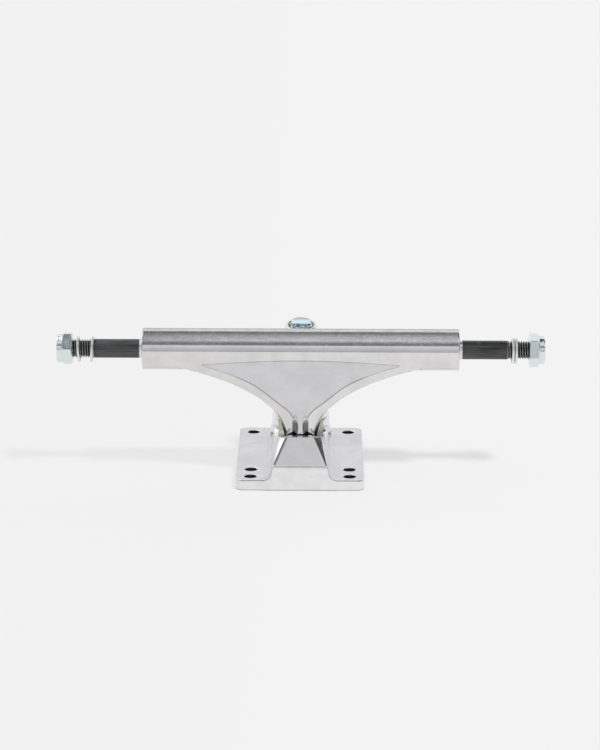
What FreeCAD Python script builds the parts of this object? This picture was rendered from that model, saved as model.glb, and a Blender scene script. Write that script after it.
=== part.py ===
"""Skateboard truck: baseplate, pivot cup, kingpin stack, hanger casting, axle, speed rings and nuts.

Frame: millimetres. The origin is the centre of the four deck bolts on the plate's bottom face.
+X runs along the axle, +Z away from the deck, +Y from the pivot cup towards the kingpin.
"""
import FreeCAD, Part
import math
import os
import Sketcher
from FreeCAD import Placement, Rotation, Vector

SIZES = {
    # deck pattern and plate
    "hole_pitch_across": 41.275,
    "hole_pitch_along": 53.975,
    "old_hole_step": 9.525,
    "hole_radius": 2.55,
    "plate_side_margin": 6.11,
    "plate_front_margin": 5.89,
    "plate_rear_margin": 6.71,
    "plate_thickness": 4.5,
    "plate_corner": 3.5,
    # pivot tower and the spine that ties it to the kingpin boss
    "front_wall_height": 10.25,
    "spine_half_foot": 12.8,
    "spine_half_head": 9.0,
    "spine_height": 9.6,
    "spine_foot_fillet": 2.6,
    "tower_height": 19.8,
    "tower_flat_half": 6.0,
    "tower_facet_half": 8.5,
    "tower_slope_run": 11.4,
    # pivot cup and the stem that turns in it
    "pivot_back": -27.8,
    "pivot_height": 11.36,
    "stem_ball_radius": 5.6,
    "stem_neck_radius": 5.25,
    "stem_neck_length": 9.5,
    "stem_clearance": 0.05,
    "cup_wall": 1.6,
    "cup_rim_reach": 3.0,
    # kingpin line: centre of the hanger's ring and the lean towards the pivot
    "ring_back": 14.8,
    "ring_height": 34.8,
    "kingpin_lean": 10.0,
    "kingpin_radius": 4.76,
    "kingpin_thread_radius": 4.7,
    "kingpin_tip_chamfer": 0.35,
    "kingpin_tip_show": 1.3,
    "kingpin_head_across": 14.29,
    "kingpin_head_thickness": 6.0,
    "kingpin_head_corner_chamfer": 0.7,
    "head_pocket_clearance": 0.15,
    "bolt_clearance": 0.05,
    "boss_radius": 12.1,
    "boss_draft": 3.5,
    "boss_flare_height": 3.4,
    "boss_flare_reach": 2.6,
    "boss_floor": 8.5,
    # bushings and cup washers
    "bushing_radius": 10.4,
    "bushing_bore_radius": 4.95,
    "lower_bushing_height": 14.9,
    "upper_bushing_height": 9.6,
    "upper_bushing_band": 2.0,
    "upper_bushing_top_radius": 8.7,
    "washer_thickness": 1.6,
    "washer_lip_height": 1.2,
    "washer_lip_width": 1.1,
    "washer_lip_clearance": 0.4,
    # kingpin nut
    "kingpin_nut_across": 14.29,
    "kingpin_nut_hex": 6.4,
    "kingpin_nut_collar": 2.9,
    "kingpin_nut_collar_radius": 6.75,
    "kingpin_nut_insert_radius": 6.0,
    "kingpin_nut_insert_height": 2.1,
    # axle nuts
    "axle_nut_across": 12.7,
    "axle_nut_hex": 4.2,
    "axle_nut_collar": 2.4,
    "axle_nut_collar_radius": 5.9,
    "axle_nut_insert_radius": 5.1,
    "axle_nut_insert_height": 1.7,
    # shares of both nut families
    "kingpin_nut_turn": 0.0,
    "axle_nut_left_turn": 40.0,
    "axle_nut_right_turn": 46.0,
    "nut_chamfer": 0.75,
    "nut_lip": 0.45,
    "insert_clearance": 0.05,
    # hanger
    "axle_back": -7.7,
    "axle_height": 51.5,
    "tube_radius": 8.75,
    "tube_length": 133.35,
    "tube_end_chamfer": 0.5,
    "ring_radius": 13.2,
    "ring_thickness": 7.0,
    "ring_bore_radius": 6.6,
    "ring_seat_depth": 1.0,
    "ring_seat_clearance": 0.5,
    "face_foot_clearance": 1.32,
    "face_foot_rise": 8.06,
    "face_head_front": 8.4,
    "face_head_drop": 2.4,
    "face_half_width": 39.8,
    "wing_half_width": 57.0,
    "face_crown_radius": 550.0,
    "rail_depth": 4.0,
    "gusset_depth": 12.0,
    "neck_front_half": 1.1,
    "neck_side_half": 5.7,
    "web_half_width": 10.5,
    "web_bushing_gap": 1.8,
    "flute_radius": 1.15,
    "flute_offset": 2.25,
    "flute_top_offset": 2.1,
    "flute_top": 8.5,
    "flute_depth": 2.6,
    "neck_sink": 0.35,
    # axle
    "axle_radius": 3.97,
    "axle_thread_radius": 3.9,
    "axle_length": 203.2,
    "axle_thread_length": 14.6,
    "axle_tip_chamfer": 0.7,
    "axle_nut_overhang": 1.15,
    # speed rings: outer radius, thickness, running clearance and how far each one lies from its nut
    "speed_ring_radius": 5.5,
    "speed_ring_thickness": 1.05,
    "speed_ring_clearance": 0.08,
    "speed_ring_left_inner_gap": 8.19,
    "speed_ring_left_outer_gap": 2.45,
    "speed_ring_right_inner_gap": 6.75,
    "speed_ring_right_outer_gap": 5.37,
    "speed_ring_left_inner_tilt": 3.5,
    "speed_ring_left_outer_tilt": -3.5,
    "speed_ring_right_inner_tilt": 0.0,
    "speed_ring_right_outer_tilt": 0.0,
    # overrun of every cutting tool
    "overrun": 1.0,
}

# Outline of the crowned face: shares of its half width and of its height, foot to head
FACE_WIDTH_SHARES = (0.055, 0.075, 0.108, 0.151, 0.224, 0.294, 0.433, 0.557, 0.811, 1.0)
FACE_HEIGHT_SHARES = (0.175, 0.210, 0.271, 0.326, 0.394, 0.465, 0.603, 0.697, 0.845, 0.945)
# Outline behind the rails: shares of the wings' half width and of the face's height
WING_WIDTH_SHARES = (0.121, 0.156, 0.214, 0.302, 0.391, 0.507, 0.630, 0.753, 0.875, 1.0)
WING_HEIGHT_SHARES = (0.140, 0.255, 0.364, 0.502, 0.596, 0.698, 0.779, 0.850, 0.895, 0.912)
NECK_RISE_SHARES = (0.110, 0.048)
OUTLINE_TOP_SHARE = 1.07
# Where the boss's flare bends, as a share of its reach
FLARE_SHARE = 0.3
# Turn between the sides of an octagon, and the corners of the stem's nose, in degrees
OCTAGON_TURN = 45.0
NOSE_TURNS = (60.0, 30.0, 0.0, -30.0)
# Numerical tolerance when picking level edges
FLAT = 1e-6

# Where the web's outline leaves the tube, back and down, as shares of the tube's radius
WEB_ROOT_SHARES = (0.85, 0.35)

# Lengths that several pieces share, written with the names of the sizes
PLATE_HALF = "(Sizes.hole_pitch_across / 2 + Sizes.plate_side_margin)"
PLATE_FRONT = "(Sizes.hole_pitch_along / 2 + Sizes.old_hole_step + Sizes.plate_front_margin)"
PLATE_REAR = "(Sizes.hole_pitch_along / 2 + Sizes.plate_rear_margin)"
RING_FLOOR = "(Sizes.ring_thickness / 2 - Sizes.ring_seat_depth)"
LOWER_WASHER_TOP = f"({RING_FLOOR} + Sizes.lower_bushing_height)"
SEAT_DEPTH = f"({LOWER_WASHER_TOP} + Sizes.washer_thickness)"
HEAD_TOP_DEPTH = f"({SEAT_DEPTH} + Sizes.boss_floor)"
UPPER_WASHER_FOOT = f"({RING_FLOOR} + Sizes.upper_bushing_height)"
NUT_FOOT = f"({UPPER_WASHER_FOOT} + Sizes.washer_thickness)"
NUT_TOP = f"({NUT_FOOT} + Sizes.kingpin_nut_hex + Sizes.kingpin_nut_collar)"
KINGPIN_SHANK = f"(Sizes.kingpin_head_thickness + {HEAD_TOP_DEPTH} + {UPPER_WASHER_FOOT})"
KINGPIN_LENGTH = f"(Sizes.kingpin_head_thickness + {HEAD_TOP_DEPTH} + {NUT_TOP} + Sizes.kingpin_tip_show)"

doc = FreeCAD.newDocument("skateboard_truck")
sheet = doc.addObject("Spreadsheet::Sheet", "Sizes")
for row, (alias, length) in enumerate(SIZES.items(), start=1):
    sheet.set(f"A{row}", alias)
    sheet.set(f"B{row}", str(length))
    sheet.setAlias(f"B{row}", alias)
doc.recompute()

X_AXIS, Y_AXIS, Z_AXIS = Vector(1, 0, 0), Vector(0, 1, 0), Vector(0, 0, 1)


def size(name):
    """Value of one named size."""
    return getattr(sheet, name)


def amount(expression):
    """Value of an expression written with the sheet's names."""
    return float(sheet.evalExpression(expression.replace("Sizes.", "")))


def bind(item, **expressions):
    """Tie properties of an object to expressions on the sheet."""
    for name, expression in expressions.items():
        item.setExpression(name, expression)
    return item


def origin_plane(body, role):
    """One of a body's own origin planes."""
    return next(f for f in body.Origin.OriginFeatures if f.Role == role)


def turned_body(label, outline):
    """Body turned about its own Z axis from (radius, height) expressions, heights from zero up."""
    body = doc.addObject("PartDesign::Body", label)
    sketch = body.newObject("Sketcher::SketchObject", label + "_outline")
    sketch.AttachmentSupport = [(origin_plane(body, "XZ_Plane"), "")]
    sketch.MapMode = "FlatFace"
    corners = [Vector(amount(r), amount(z), 0) for r, z in outline]
    count = len(corners)
    for index in range(count):
        sketch.addGeometry(Part.LineSegment(corners[index], corners[(index + 1) % count]), False)
    for index in range(count):
        sketch.addConstraint(Sketcher.Constraint("Coincident", index, 2, (index + 1) % count, 1))
    for index, (radius, height) in enumerate(outline):
        tie_corner(sketch, index, radius, "X", corners[index].x)
        tie_corner(sketch, index, height, "Y", corners[index].y)
    turn = body.newObject("PartDesign::Revolution", label + "_turn")
    turn.Profile = sketch
    turn.ReferenceAxis = (sketch, ["V_Axis"])
    turn.Angle = 360.0
    sketch.Visibility = False
    doc.recompute()
    return body


def tie_corner(sketch, index, expression, letter, place):
    """Fix one coordinate of a sketch corner: on an axis where it is zero, else by a bound distance."""
    if expression == "0":
        axis_line = -2 if letter == "X" else -1
        sketch.addConstraint(Sketcher.Constraint("PointOnObject", index, 1, axis_line))
        return
    number = sketch.addConstraint(
        Sketcher.Constraint("Distance" + letter, -1, 1, index, 1, place))
    sketch.setExpression(f"Constraints[{number}]", expression)


def along(direction, origin, turn=0.0):
    """Placement that lays a piece's Z axis along a direction, after a turn about that axis."""
    return Placement(origin, Rotation(Z_AXIS, direction).multiply(Rotation(Z_AXIS, turn)))


def carried(label, shape):
    """Object of the document that holds a computed shape."""
    item = doc.addObject("Part::Feature", label)
    item.Shape = shape
    return item


def joined(label, kind, *items):
    """Boolean of several objects: a fusion, a common part, or the first cut by the second."""
    item = doc.addObject("Part::" + kind, label)
    if kind == "Cut":
        item.Base, item.Tool = items
    else:
        item.Shapes = list(items)
    return item


def cylinder(label, radius, height, placement):
    """Cylinder whose radius and height are bound to the sheet."""
    item = bind(doc.addObject("Part::Cylinder", label), Radius=radius, Height=height)
    item.Placement = placement
    return item


def prism_of(points, travel):
    """Solid swept by a closed polygon."""
    face = Part.Face(Part.makePolygon(points + points[:1]))
    return face.extrude(travel)


# Directions and points shared by the pieces
LEAN = math.radians(size("kingpin_lean"))
KINGPIN_UP = Vector(0, -math.sin(LEAN), math.cos(LEAN))
KINGPIN_SIDE = Vector(0, math.cos(LEAN), math.sin(LEAN))
RING_CENTRE = Vector(0, size("ring_back"), size("ring_height"))
PIVOT = Vector(0, size("pivot_back"), size("pivot_height"))
STEM_UP = (RING_CENTRE - PIVOT).normalize()
STEM_FRONT = Vector(0, -STEM_UP.z, STEM_UP.y)
RIM_CENTRE = PIVOT + STEM_UP * size("cup_rim_reach")
AXLE_CENTRE = Vector(0, size("axle_back"), size("axle_height"))
FACE_FOOT = RIM_CENTRE + STEM_UP * size("face_foot_clearance") + STEM_FRONT * size("face_foot_rise")
FACE_HEAD = AXLE_CENTRE - Y_AXIS * size("face_head_front") - Z_AXIS * size("face_head_drop")
FACE_UP = (FACE_HEAD - FACE_FOOT).normalize()
FACE_IN = Vector(0, FACE_UP.z, -FACE_UP.y)
FACE_HEIGHT = (FACE_HEAD - FACE_FOOT).Length
CUP_INNER = size("stem_ball_radius") + size("stem_clearance")
CUP_OUTER = CUP_INNER + size("cup_wall")


def on_kingpin(distance):
    """Point on the kingpin's line, measured from the ring's centre towards the nut."""
    return RING_CENTRE + KINGPIN_UP * distance


def below_ring(expression):
    """Point on the kingpin's line at an expression's depth below the ring's centre."""
    return on_kingpin(-amount(expression))


def above_ring(expression):
    """Point on the kingpin's line at an expression's height above the ring's centre."""
    return on_kingpin(amount(expression))


def on_face(half, rise, depth):
    """Point given across the face, up along it and inwards from it."""
    return FACE_FOOT + X_AXIS * half + FACE_UP * rise + FACE_IN * depth


# Baseplate

def plate_slab():
    """Rounded deck plate with its six bolt holes."""
    body = doc.addObject("PartDesign::Body", "plate_slab")
    sketch = body.newObject("Sketcher::SketchObject", "plate_outline")
    sketch.AttachmentSupport = [(origin_plane(body, "XY_Plane"), "")]
    sketch.MapMode = "FlatFace"
    half, front, rear = amount(PLATE_HALF), -amount(PLATE_FRONT), amount(PLATE_REAR)
    corners = [Vector(-half, front, 0), Vector(half, front, 0), Vector(half, rear, 0), Vector(-half, rear, 0)]
    for index in range(4):
        sketch.addGeometry(Part.LineSegment(corners[index], corners[(index + 1) % 4]), False)
        sketch.addConstraint(Sketcher.Constraint("Horizontal" if index % 2 == 0 else "Vertical", index))
    for index in range(4):
        sketch.addConstraint(Sketcher.Constraint("Coincident", index, 2, (index + 1) % 4, 1))
    ties = (("DistanceX", 0, -half, "-" + PLATE_HALF), ("DistanceX", 1, half, PLATE_HALF),
            ("DistanceY", 0, front, "-" + PLATE_FRONT), ("DistanceY", 2, rear, PLATE_REAR))
    for kind, corner, place, expression in ties:
        number = sketch.addConstraint(Sketcher.Constraint(kind, -1, 1, corner, 1, place))
        sketch.setExpression(f"Constraints[{number}]", expression)
    pad = body.newObject("PartDesign::Pad", "plate_pad")
    pad.Profile = sketch
    bind(pad, Length="Sizes.plate_thickness")
    doc.recompute()
    upright = [f"Edge{i}" for i, edge in enumerate(pad.Shape.Edges, start=1)
               if abs(edge.tangentAt(edge.FirstParameter).z) > 0.99]
    corner_round = body.newObject("PartDesign::Fillet", "plate_corners")
    corner_round.Base = (pad, upright)
    bind(corner_round, Radius="Sizes.plate_corner")
    sketch.Visibility = False
    doc.recompute()
    return body


def bolt_holes():
    """Drills of the four deck bolts and of the two holes of the longer pattern."""
    half_across, half_along = size("hole_pitch_across") / 2, size("hole_pitch_along") / 2
    rows = {"rear": half_along, "front": -half_along, "old": -half_along - size("old_hole_step")}
    drills = []
    for side, across in (("left", -half_across), ("right", half_across)):
        for row, along_y in rows.items():
            place = Placement(Vector(across, along_y, -size("overrun")), Rotation())
            drills.append(cylinder(f"drill_{side}_{row}", "Sizes.hole_radius",
                                   "Sizes.plate_thickness + 2 * Sizes.overrun", place))
    return drills


def spine_shape():
    """Pivot tower and spine: one side outline between two drafted planes, with corner facets."""
    front, low, high = -amount(PLATE_FRONT), size("plate_thickness"), size("tower_height")
    half = amount(PLATE_HALF)
    crest = Vector(0, front + size("tower_slope_run"), high)
    boss_line = below_ring(SEAT_DEPTH).y
    outline = [(front, 0), (front, size("front_wall_height")), (crest.y, high), (rim_back(high), high),
               (rim_back(size("spine_height")), size("spine_height")), (boss_line, size("spine_height")),
               (boss_line, 0)]
    spine = prism_of([Vector(-half, y, z) for y, z in outline], X_AXIS * half * 2)
    draft = (size("spine_half_foot") - size("spine_half_head")) / (high - low)
    wall_half = size("spine_half_foot") - draft * (size("front_wall_height") - low)
    for sign in (-1, 1):
        foot_line = Vector(sign * size("spine_half_foot"), 0, low)
        head_line = Vector(sign * size("spine_half_head"), 0, high)
        spine = spine.cut(half_space(foot_line, head_line, foot_line + Y_AXIS, X_AXIS * sign, half * 2))
        start = Vector(sign * wall_half, front, size("front_wall_height"))
        inner = Vector(sign * size("tower_flat_half"), crest.y, high)
        outer = Vector(sign * size("tower_facet_half"), rim_back(high), high)
        spine = spine.cut(half_space(start, inner, outer, X_AXIS * sign, half * 2))
    return footed(spine, size("spine_foot_fillet"))


def rim_back(height):
    """Where the plane of the cup's rim is at a height."""
    return RIM_CENTRE.y - (height - RIM_CENTRE.z) * STEM_UP.z / STEM_UP.y


def footed(ridge, radius):
    """Fillet the two long corners between a ridge and the top of the plate."""
    low, front, half_floor = size("plate_thickness"), amount(PLATE_FRONT), amount(PLATE_HALF)
    floor = Part.makeBox(half_floor * 2, front + amount(PLATE_REAR), low, Vector(-half_floor, -front, 0))
    solid = floor.fuse(ridge).removeSplitter()
    foot = [edge for edge in solid.Edges if is_foot(edge, low, half_floor)]
    return solid.makeFillet(radius, foot).cut(floor)


def is_foot(edge, low, half_floor):
    """Whether an edge runs straight along Y on top of the plate, inside its sides."""
    box = edge.BoundBox
    level = box.ZLength < FLAT and abs(box.ZMin - low) < FLAT
    return level and box.XLength < FLAT and max(abs(box.XMin), abs(box.XMax)) < half_floor - FLAT


def half_space(first, second, third, outwards, reach):
    """Box that fills one side of the plane through three points."""
    normal = (second - first).cross(third - first).normalize()
    if normal.dot(outwards) < 0:
        normal = -normal
    centre = (first + second + third) / 3
    block = Part.makeBox(reach * 2, reach * 2, reach)
    block.Placement = Placement(centre, Rotation(Z_AXIS, normal)).multiply(
        Placement(Vector(-reach, -reach, 0), Rotation()))
    return block


def boss_shape():
    """Drafted kingpin boss that flares out to the plate, trimmed at the plate's rear edge."""
    draft = math.tan(math.radians(size("boss_draft")))
    floor_depth = (RING_CENTRE.z - size("plate_thickness")) / math.cos(LEAN)
    neck_depth = floor_depth - size("boss_flare_height")
    seat_depth = amount(SEAT_DEPTH)
    neck_radius = size("boss_radius") + (neck_depth - seat_depth) * draft
    reach, rise = size("boss_flare_reach"), size("boss_flare_height")
    outline = [(0, seat_depth), (size("boss_radius"), seat_depth), (neck_radius, neck_depth),
               (neck_radius + reach * FLARE_SHARE, neck_depth + rise * (1 - FLARE_SHARE)),
               (neck_radius + reach, floor_depth), (neck_radius + reach, floor_depth + rise * 2),
               (0, floor_depth + rise * 2)]
    points = [Vector(radius, 0, depth) for radius, depth in outline]
    boss = Part.Face(Part.makePolygon(points + points[:1])).revolve(Vector(), Z_AXIS, 360)
    boss.Placement = along(-KINGPIN_UP, RING_CENTRE)
    half, front = amount(PLATE_HALF), amount(PLATE_FRONT)
    room = Part.makeBox(half * 2, front + amount(PLATE_REAR), RING_CENTRE.z,
                        Vector(-half, -front, size("plate_thickness") / 2))
    return boss.common(room)


def baseplate():
    """Baseplate casting with its cup socket, kingpin bore and head pocket."""
    slab = plate_slab()
    spine = carried("baseplate_spine", spine_shape())
    boss = carried("baseplate_boss", boss_shape())
    body = joined("baseplate_casting", "MultiFuse", slab, spine, boss)
    body.Refine = True
    socket = carried("cup_socket", blunt_nosed(CUP_OUTER, amount(PLATE_FRONT)))
    socket.Placement = along(STEM_UP, PIVOT)
    bore = cylinder("kingpin_bore", "Sizes.kingpin_radius + Sizes.bolt_clearance",
                    f"{HEAD_TOP_DEPTH}", along(-KINGPIN_UP, below_ring(SEAT_DEPTH + " - Sizes.overrun")))
    pocket = doc.addObject("Part::Prism", "head_pocket")
    pocket.Polygon = 6
    bind(pocket, Height=HEAD_TOP_DEPTH,
         Circumradius="(Sizes.kingpin_head_across / 2 + Sizes.head_pocket_clearance) / cos(30 deg)")
    pocket.Placement = along(-KINGPIN_UP, below_ring(HEAD_TOP_DEPTH))
    tools = joined("baseplate_tools", "MultiFuse", socket, bore, pocket, *bolt_holes())
    return joined("baseplate", "Cut", body, tools)


def blunt_nosed(radius, length):
    """Rod along Z whose foot closes round a ball of the same radius with one cone and a flat."""
    waist = radius * math.tan(math.radians(OCTAGON_TURN / 2))
    points = [Vector(0, 0, -radius), Vector(waist, 0, -radius), Vector(radius, 0, -waist),
              Vector(radius, 0, length), Vector(0, 0, length)]
    return Part.Face(Part.makePolygon(points + points[:1])).revolve(Vector(), Z_AXIS, 360)


def pivot_cup():
    """Moulded cup that lines the socket and carries the stem's ball."""
    outside = blunt_nosed(CUP_OUTER, size("cup_rim_reach"))
    inside = blunt_nosed(CUP_INNER, size("cup_rim_reach") + size("overrun"))
    cup = carried("pivot_cup", outside.cut(inside))
    cup.Placement = along(STEM_UP, PIVOT)
    return cup


# Kingpin stack

def kingpin():
    """Hexagon head bolt, turned from its outline and trimmed to a hexagon at the head."""
    corner = "(Sizes.kingpin_head_across / 2 / cos(30 deg))"
    turned = turned_body("kingpin_turned", [
        ("0", "0"),
        (corner + " - Sizes.kingpin_head_corner_chamfer * 2", "0"),
        (corner, "Sizes.kingpin_head_corner_chamfer"),
        (corner, "Sizes.kingpin_head_thickness"),
        ("Sizes.kingpin_radius", "Sizes.kingpin_head_thickness"),
        ("Sizes.kingpin_radius", KINGPIN_SHANK),
        ("Sizes.kingpin_thread_radius", KINGPIN_SHANK),
        ("Sizes.kingpin_thread_radius", KINGPIN_LENGTH + " - Sizes.kingpin_tip_chamfer"),
        ("Sizes.kingpin_thread_radius - Sizes.kingpin_tip_chamfer", KINGPIN_LENGTH),
        ("0", KINGPIN_LENGTH)])
    turned.Placement = along(KINGPIN_UP, below_ring(HEAD_TOP_DEPTH + " + Sizes.kingpin_head_thickness"))
    hexagon = doc.addObject("Part::Prism", "kingpin_hexagon")
    hexagon.Polygon = 6
    bind(hexagon, Circumradius=corner, Height="Sizes.kingpin_head_thickness")
    hexagon.Placement = along(-KINGPIN_UP, below_ring(HEAD_TOP_DEPTH))
    shank = cylinder("kingpin_envelope", "Sizes.kingpin_radius + Sizes.overrun", KINGPIN_LENGTH,
                     along(KINGPIN_UP, below_ring(HEAD_TOP_DEPTH)))
    return joined("kingpin", "MultiCommon", turned, joined("kingpin_trim", "MultiFuse", hexagon, shank))


def cup_washer(label, lip_inner, place):
    """Dished washer: a flat disc with a raised lip that keeps the bushing centred."""
    outer = f"({lip_inner} + Sizes.washer_lip_width)"
    body = turned_body(label, [
        ("Sizes.kingpin_radius + Sizes.bolt_clearance", "0"),
        (outer, "0"),
        (outer, "Sizes.washer_thickness + Sizes.washer_lip_height"),
        (lip_inner, "Sizes.washer_thickness + Sizes.washer_lip_height"),
        (lip_inner, "Sizes.washer_thickness"),
        ("Sizes.kingpin_radius + Sizes.bolt_clearance", "Sizes.washer_thickness")])
    body.Placement = place
    return body


def lower_bushing():
    """Barrel bushing between the lower washer and the ring."""
    body = turned_body("lower_bushing", [
        ("Sizes.bushing_bore_radius", "0"),
        ("Sizes.bushing_radius", "0"),
        ("Sizes.bushing_radius", "Sizes.lower_bushing_height"),
        ("Sizes.bushing_bore_radius", "Sizes.lower_bushing_height")])
    body.Placement = along(KINGPIN_UP, below_ring(LOWER_WASHER_TOP))
    return body


def upper_bushing():
    """Cone bushing between the ring and the upper washer."""
    body = turned_body("upper_bushing", [
        ("Sizes.bushing_bore_radius", "0"),
        ("Sizes.bushing_radius", "0"),
        ("Sizes.bushing_radius", "Sizes.upper_bushing_band"),
        ("Sizes.upper_bushing_top_radius", "Sizes.upper_bushing_height"),
        ("Sizes.bushing_bore_radius", "Sizes.upper_bushing_height")])
    body.Placement = along(KINGPIN_UP, above_ring(RING_FLOOR))
    return body


def lock_nut(label, family, bolt_radius, place, turn):
    """Lock nut: turned envelope trimmed to a hexagon below its collar, and its nylon ring."""
    own = "Sizes." + family
    bore = f"({bolt_radius} + Sizes.bolt_clearance)"
    corner = f"({own}_across / 2 / cos(30 deg))"
    collar = own + "_collar_radius"
    total = f"({own}_hex + {own}_collar)"
    seat = f"({total} - Sizes.nut_lip - {own}_insert_height)"
    turned = turned_body(label + "_turned", [
        (bore, "0"),
        (f"{own}_across / 2", "0"),
        (corner, "Sizes.nut_chamfer"),
        (corner, f"{own}_hex"),
        (collar, f"{own}_hex"),
        (collar, total),
        (f"{own}_insert_radius", total),
        (f"{own}_insert_radius", seat),
        (bore, seat)])
    turned.Placement = place
    hexagon = doc.addObject("Part::Prism", label + "_hexagon")
    hexagon.Polygon = 6
    bind(hexagon, Circumradius=corner, Height=total)
    hexagon.Placement = place.multiply(Placement(Vector(), Rotation(Z_AXIS, turn)))
    nut = joined(label, "MultiCommon", turned, hexagon)
    rim = f"({own}_insert_radius - Sizes.insert_clearance)"
    height = f"({own}_insert_height - 2 * Sizes.insert_clearance)"
    insert = turned_body(label + "_insert", [(bore, "0"), (rim, "0"), (rim, height), (bore, height)])
    lift = amount(seat) + size("insert_clearance")
    insert.Placement = place.multiply(Placement(Vector(0, 0, lift), Rotation()))
    return nut, insert


# Hanger

def outline_wire(widths, heights, half, depth, neck_half, neck_rise):
    """Closed outline in a plane parallel to the face: neck, two swept sides and a top inside the tube."""
    curve_right = [on_face(half * w, FACE_HEIGHT * s, depth) for w, s in zip(widths, heights)]
    curve_left = [Vector(-p.x, p.y, p.z) for p in reversed(curve_right)]
    neck_top = [on_face(sign * neck_half, FACE_HEIGHT * neck_rise, depth) for sign in (1, -1)]
    neck_foot = [on_face(sign * neck_half, -size("neck_sink"), depth) for sign in (1, -1)]
    head = [on_face(sign * half, FACE_HEIGHT * OUTLINE_TOP_SHARE, depth) for sign in (1, -1)]
    right = Part.BSplineCurve()
    right.interpolate([neck_top[0]] + curve_right)
    left = Part.BSplineCurve()
    left.interpolate(curve_left + [neck_top[1]])
    edges = [Part.LineSegment(neck_foot[0], neck_top[0]).toShape(), right.toShape(),
             Part.LineSegment(curve_right[-1], head[0]).toShape(),
             Part.LineSegment(head[0], head[1]).toShape(),
             Part.LineSegment(head[1], curve_left[0]).toShape(), left.toShape(),
             Part.LineSegment(neck_top[1], neck_foot[1]).toShape(),
             Part.LineSegment(neck_foot[1], neck_foot[0]).toShape()]
    return Part.Wire(edges)


def face_wire(depth):
    """Outline of the crowned face, moved to a depth."""
    return outline_wire(FACE_WIDTH_SHARES, FACE_HEIGHT_SHARES, size("face_half_width"), depth,
                        size("neck_front_half"), NECK_RISE_SHARES[0])


def wing_wire(depth):
    """Outline behind the rails, moved to a depth."""
    return outline_wire(WING_WIDTH_SHARES, WING_HEIGHT_SHARES, size("wing_half_width"), depth,
                        size("neck_side_half"), NECK_RISE_SHARES[1])


def gusset_shape():
    """Web below the tube: crowned face, sloping rails, widest behind them, drawn in again at the back."""
    rails = Part.makeLoft([face_wire(0), wing_wire(size("rail_depth"))], True, True)
    back = Part.makeLoft([wing_wire(size("rail_depth")), face_wire(size("gusset_depth"))], True, True)
    crown_radius = size("face_crown_radius")
    centre = FACE_FOOT + FACE_IN * crown_radius - FACE_UP * crown_radius
    crown = Part.makeCylinder(crown_radius, crown_radius * 2, centre, FACE_UP)
    return rails.fuse(back).common(crown)


def web_shape():
    """Arm from the gusset and the stem to the ring: side outline, common with the wings' outline."""
    gap = size("bushing_radius") + size("web_bushing_gap")
    half_ring = size("ring_thickness") / 2
    neck_end = PIVOT + STEM_UP * size("stem_neck_length")
    rail = size("rail_depth")
    root_back, root_drop = (size("tube_radius") * share for share in WEB_ROOT_SHARES)
    side = [
        AXLE_CENTRE,
        AXLE_CENTRE + Y_AXIS * root_back - Z_AXIS * root_drop,
        above_ring(UPPER_WASHER_FOOT) - KINGPIN_SIDE * gap,
        on_kingpin(half_ring) - KINGPIN_SIDE * gap,
        on_kingpin(0) - KINGPIN_SIDE * size("ring_bore_radius"),
        on_kingpin(-half_ring) - KINGPIN_SIDE * gap,
        neck_end - STEM_FRONT * size("stem_neck_radius"),
        neck_end,
        on_face(0, 0, rail),
        on_face(0, FACE_HEIGHT, rail)]
    half = size("web_half_width")
    arm = prism_of([p - X_AXIS * half for p in side], X_AXIS * half * 2)
    shadow = Part.Face(wing_wire(size("rail_depth"))).extrude(FACE_IN * (RING_CENTRE - PIVOT).Length)
    return arm.common(shadow)


def stem_shape():
    """Round stem with a nose that fits inside a ball about the pivot."""
    ball, neck = size("stem_ball_radius"), size("stem_neck_radius")
    angles = [math.radians(turn) for turn in NOSE_TURNS]
    nose = [Vector(ball * math.cos(a), 0, -ball * math.sin(a)) for a in angles]
    points = [Vector(0, 0, nose[0].z)] + nose
    points += [Vector(neck, 0, nose[-1].z + ball - neck), Vector(neck, 0, size("stem_neck_length")),
               Vector(0, 0, size("stem_neck_length"))]
    stem = Part.Face(Part.makePolygon(points + points[:1])).revolve(Vector(), Z_AXIS, 360)
    stem.Placement = along(STEM_UP, PIVOT)
    return stem


def flute_shape(sign):
    """Groove beside the ridge at the foot of the face, that runs out at its top."""
    radius, top = size("flute_radius"), size("flute_top")
    foot = on_face(sign * size("flute_offset"), -size("neck_sink"), size("flute_depth") - radius)
    end = on_face(sign * size("flute_top_offset"), top, -radius)
    upwards = Vector(end - foot).normalize()
    start = foot - upwards * size("overrun")
    return Part.makeCylinder(radius, (end - start).Length, start, upwards)


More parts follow.
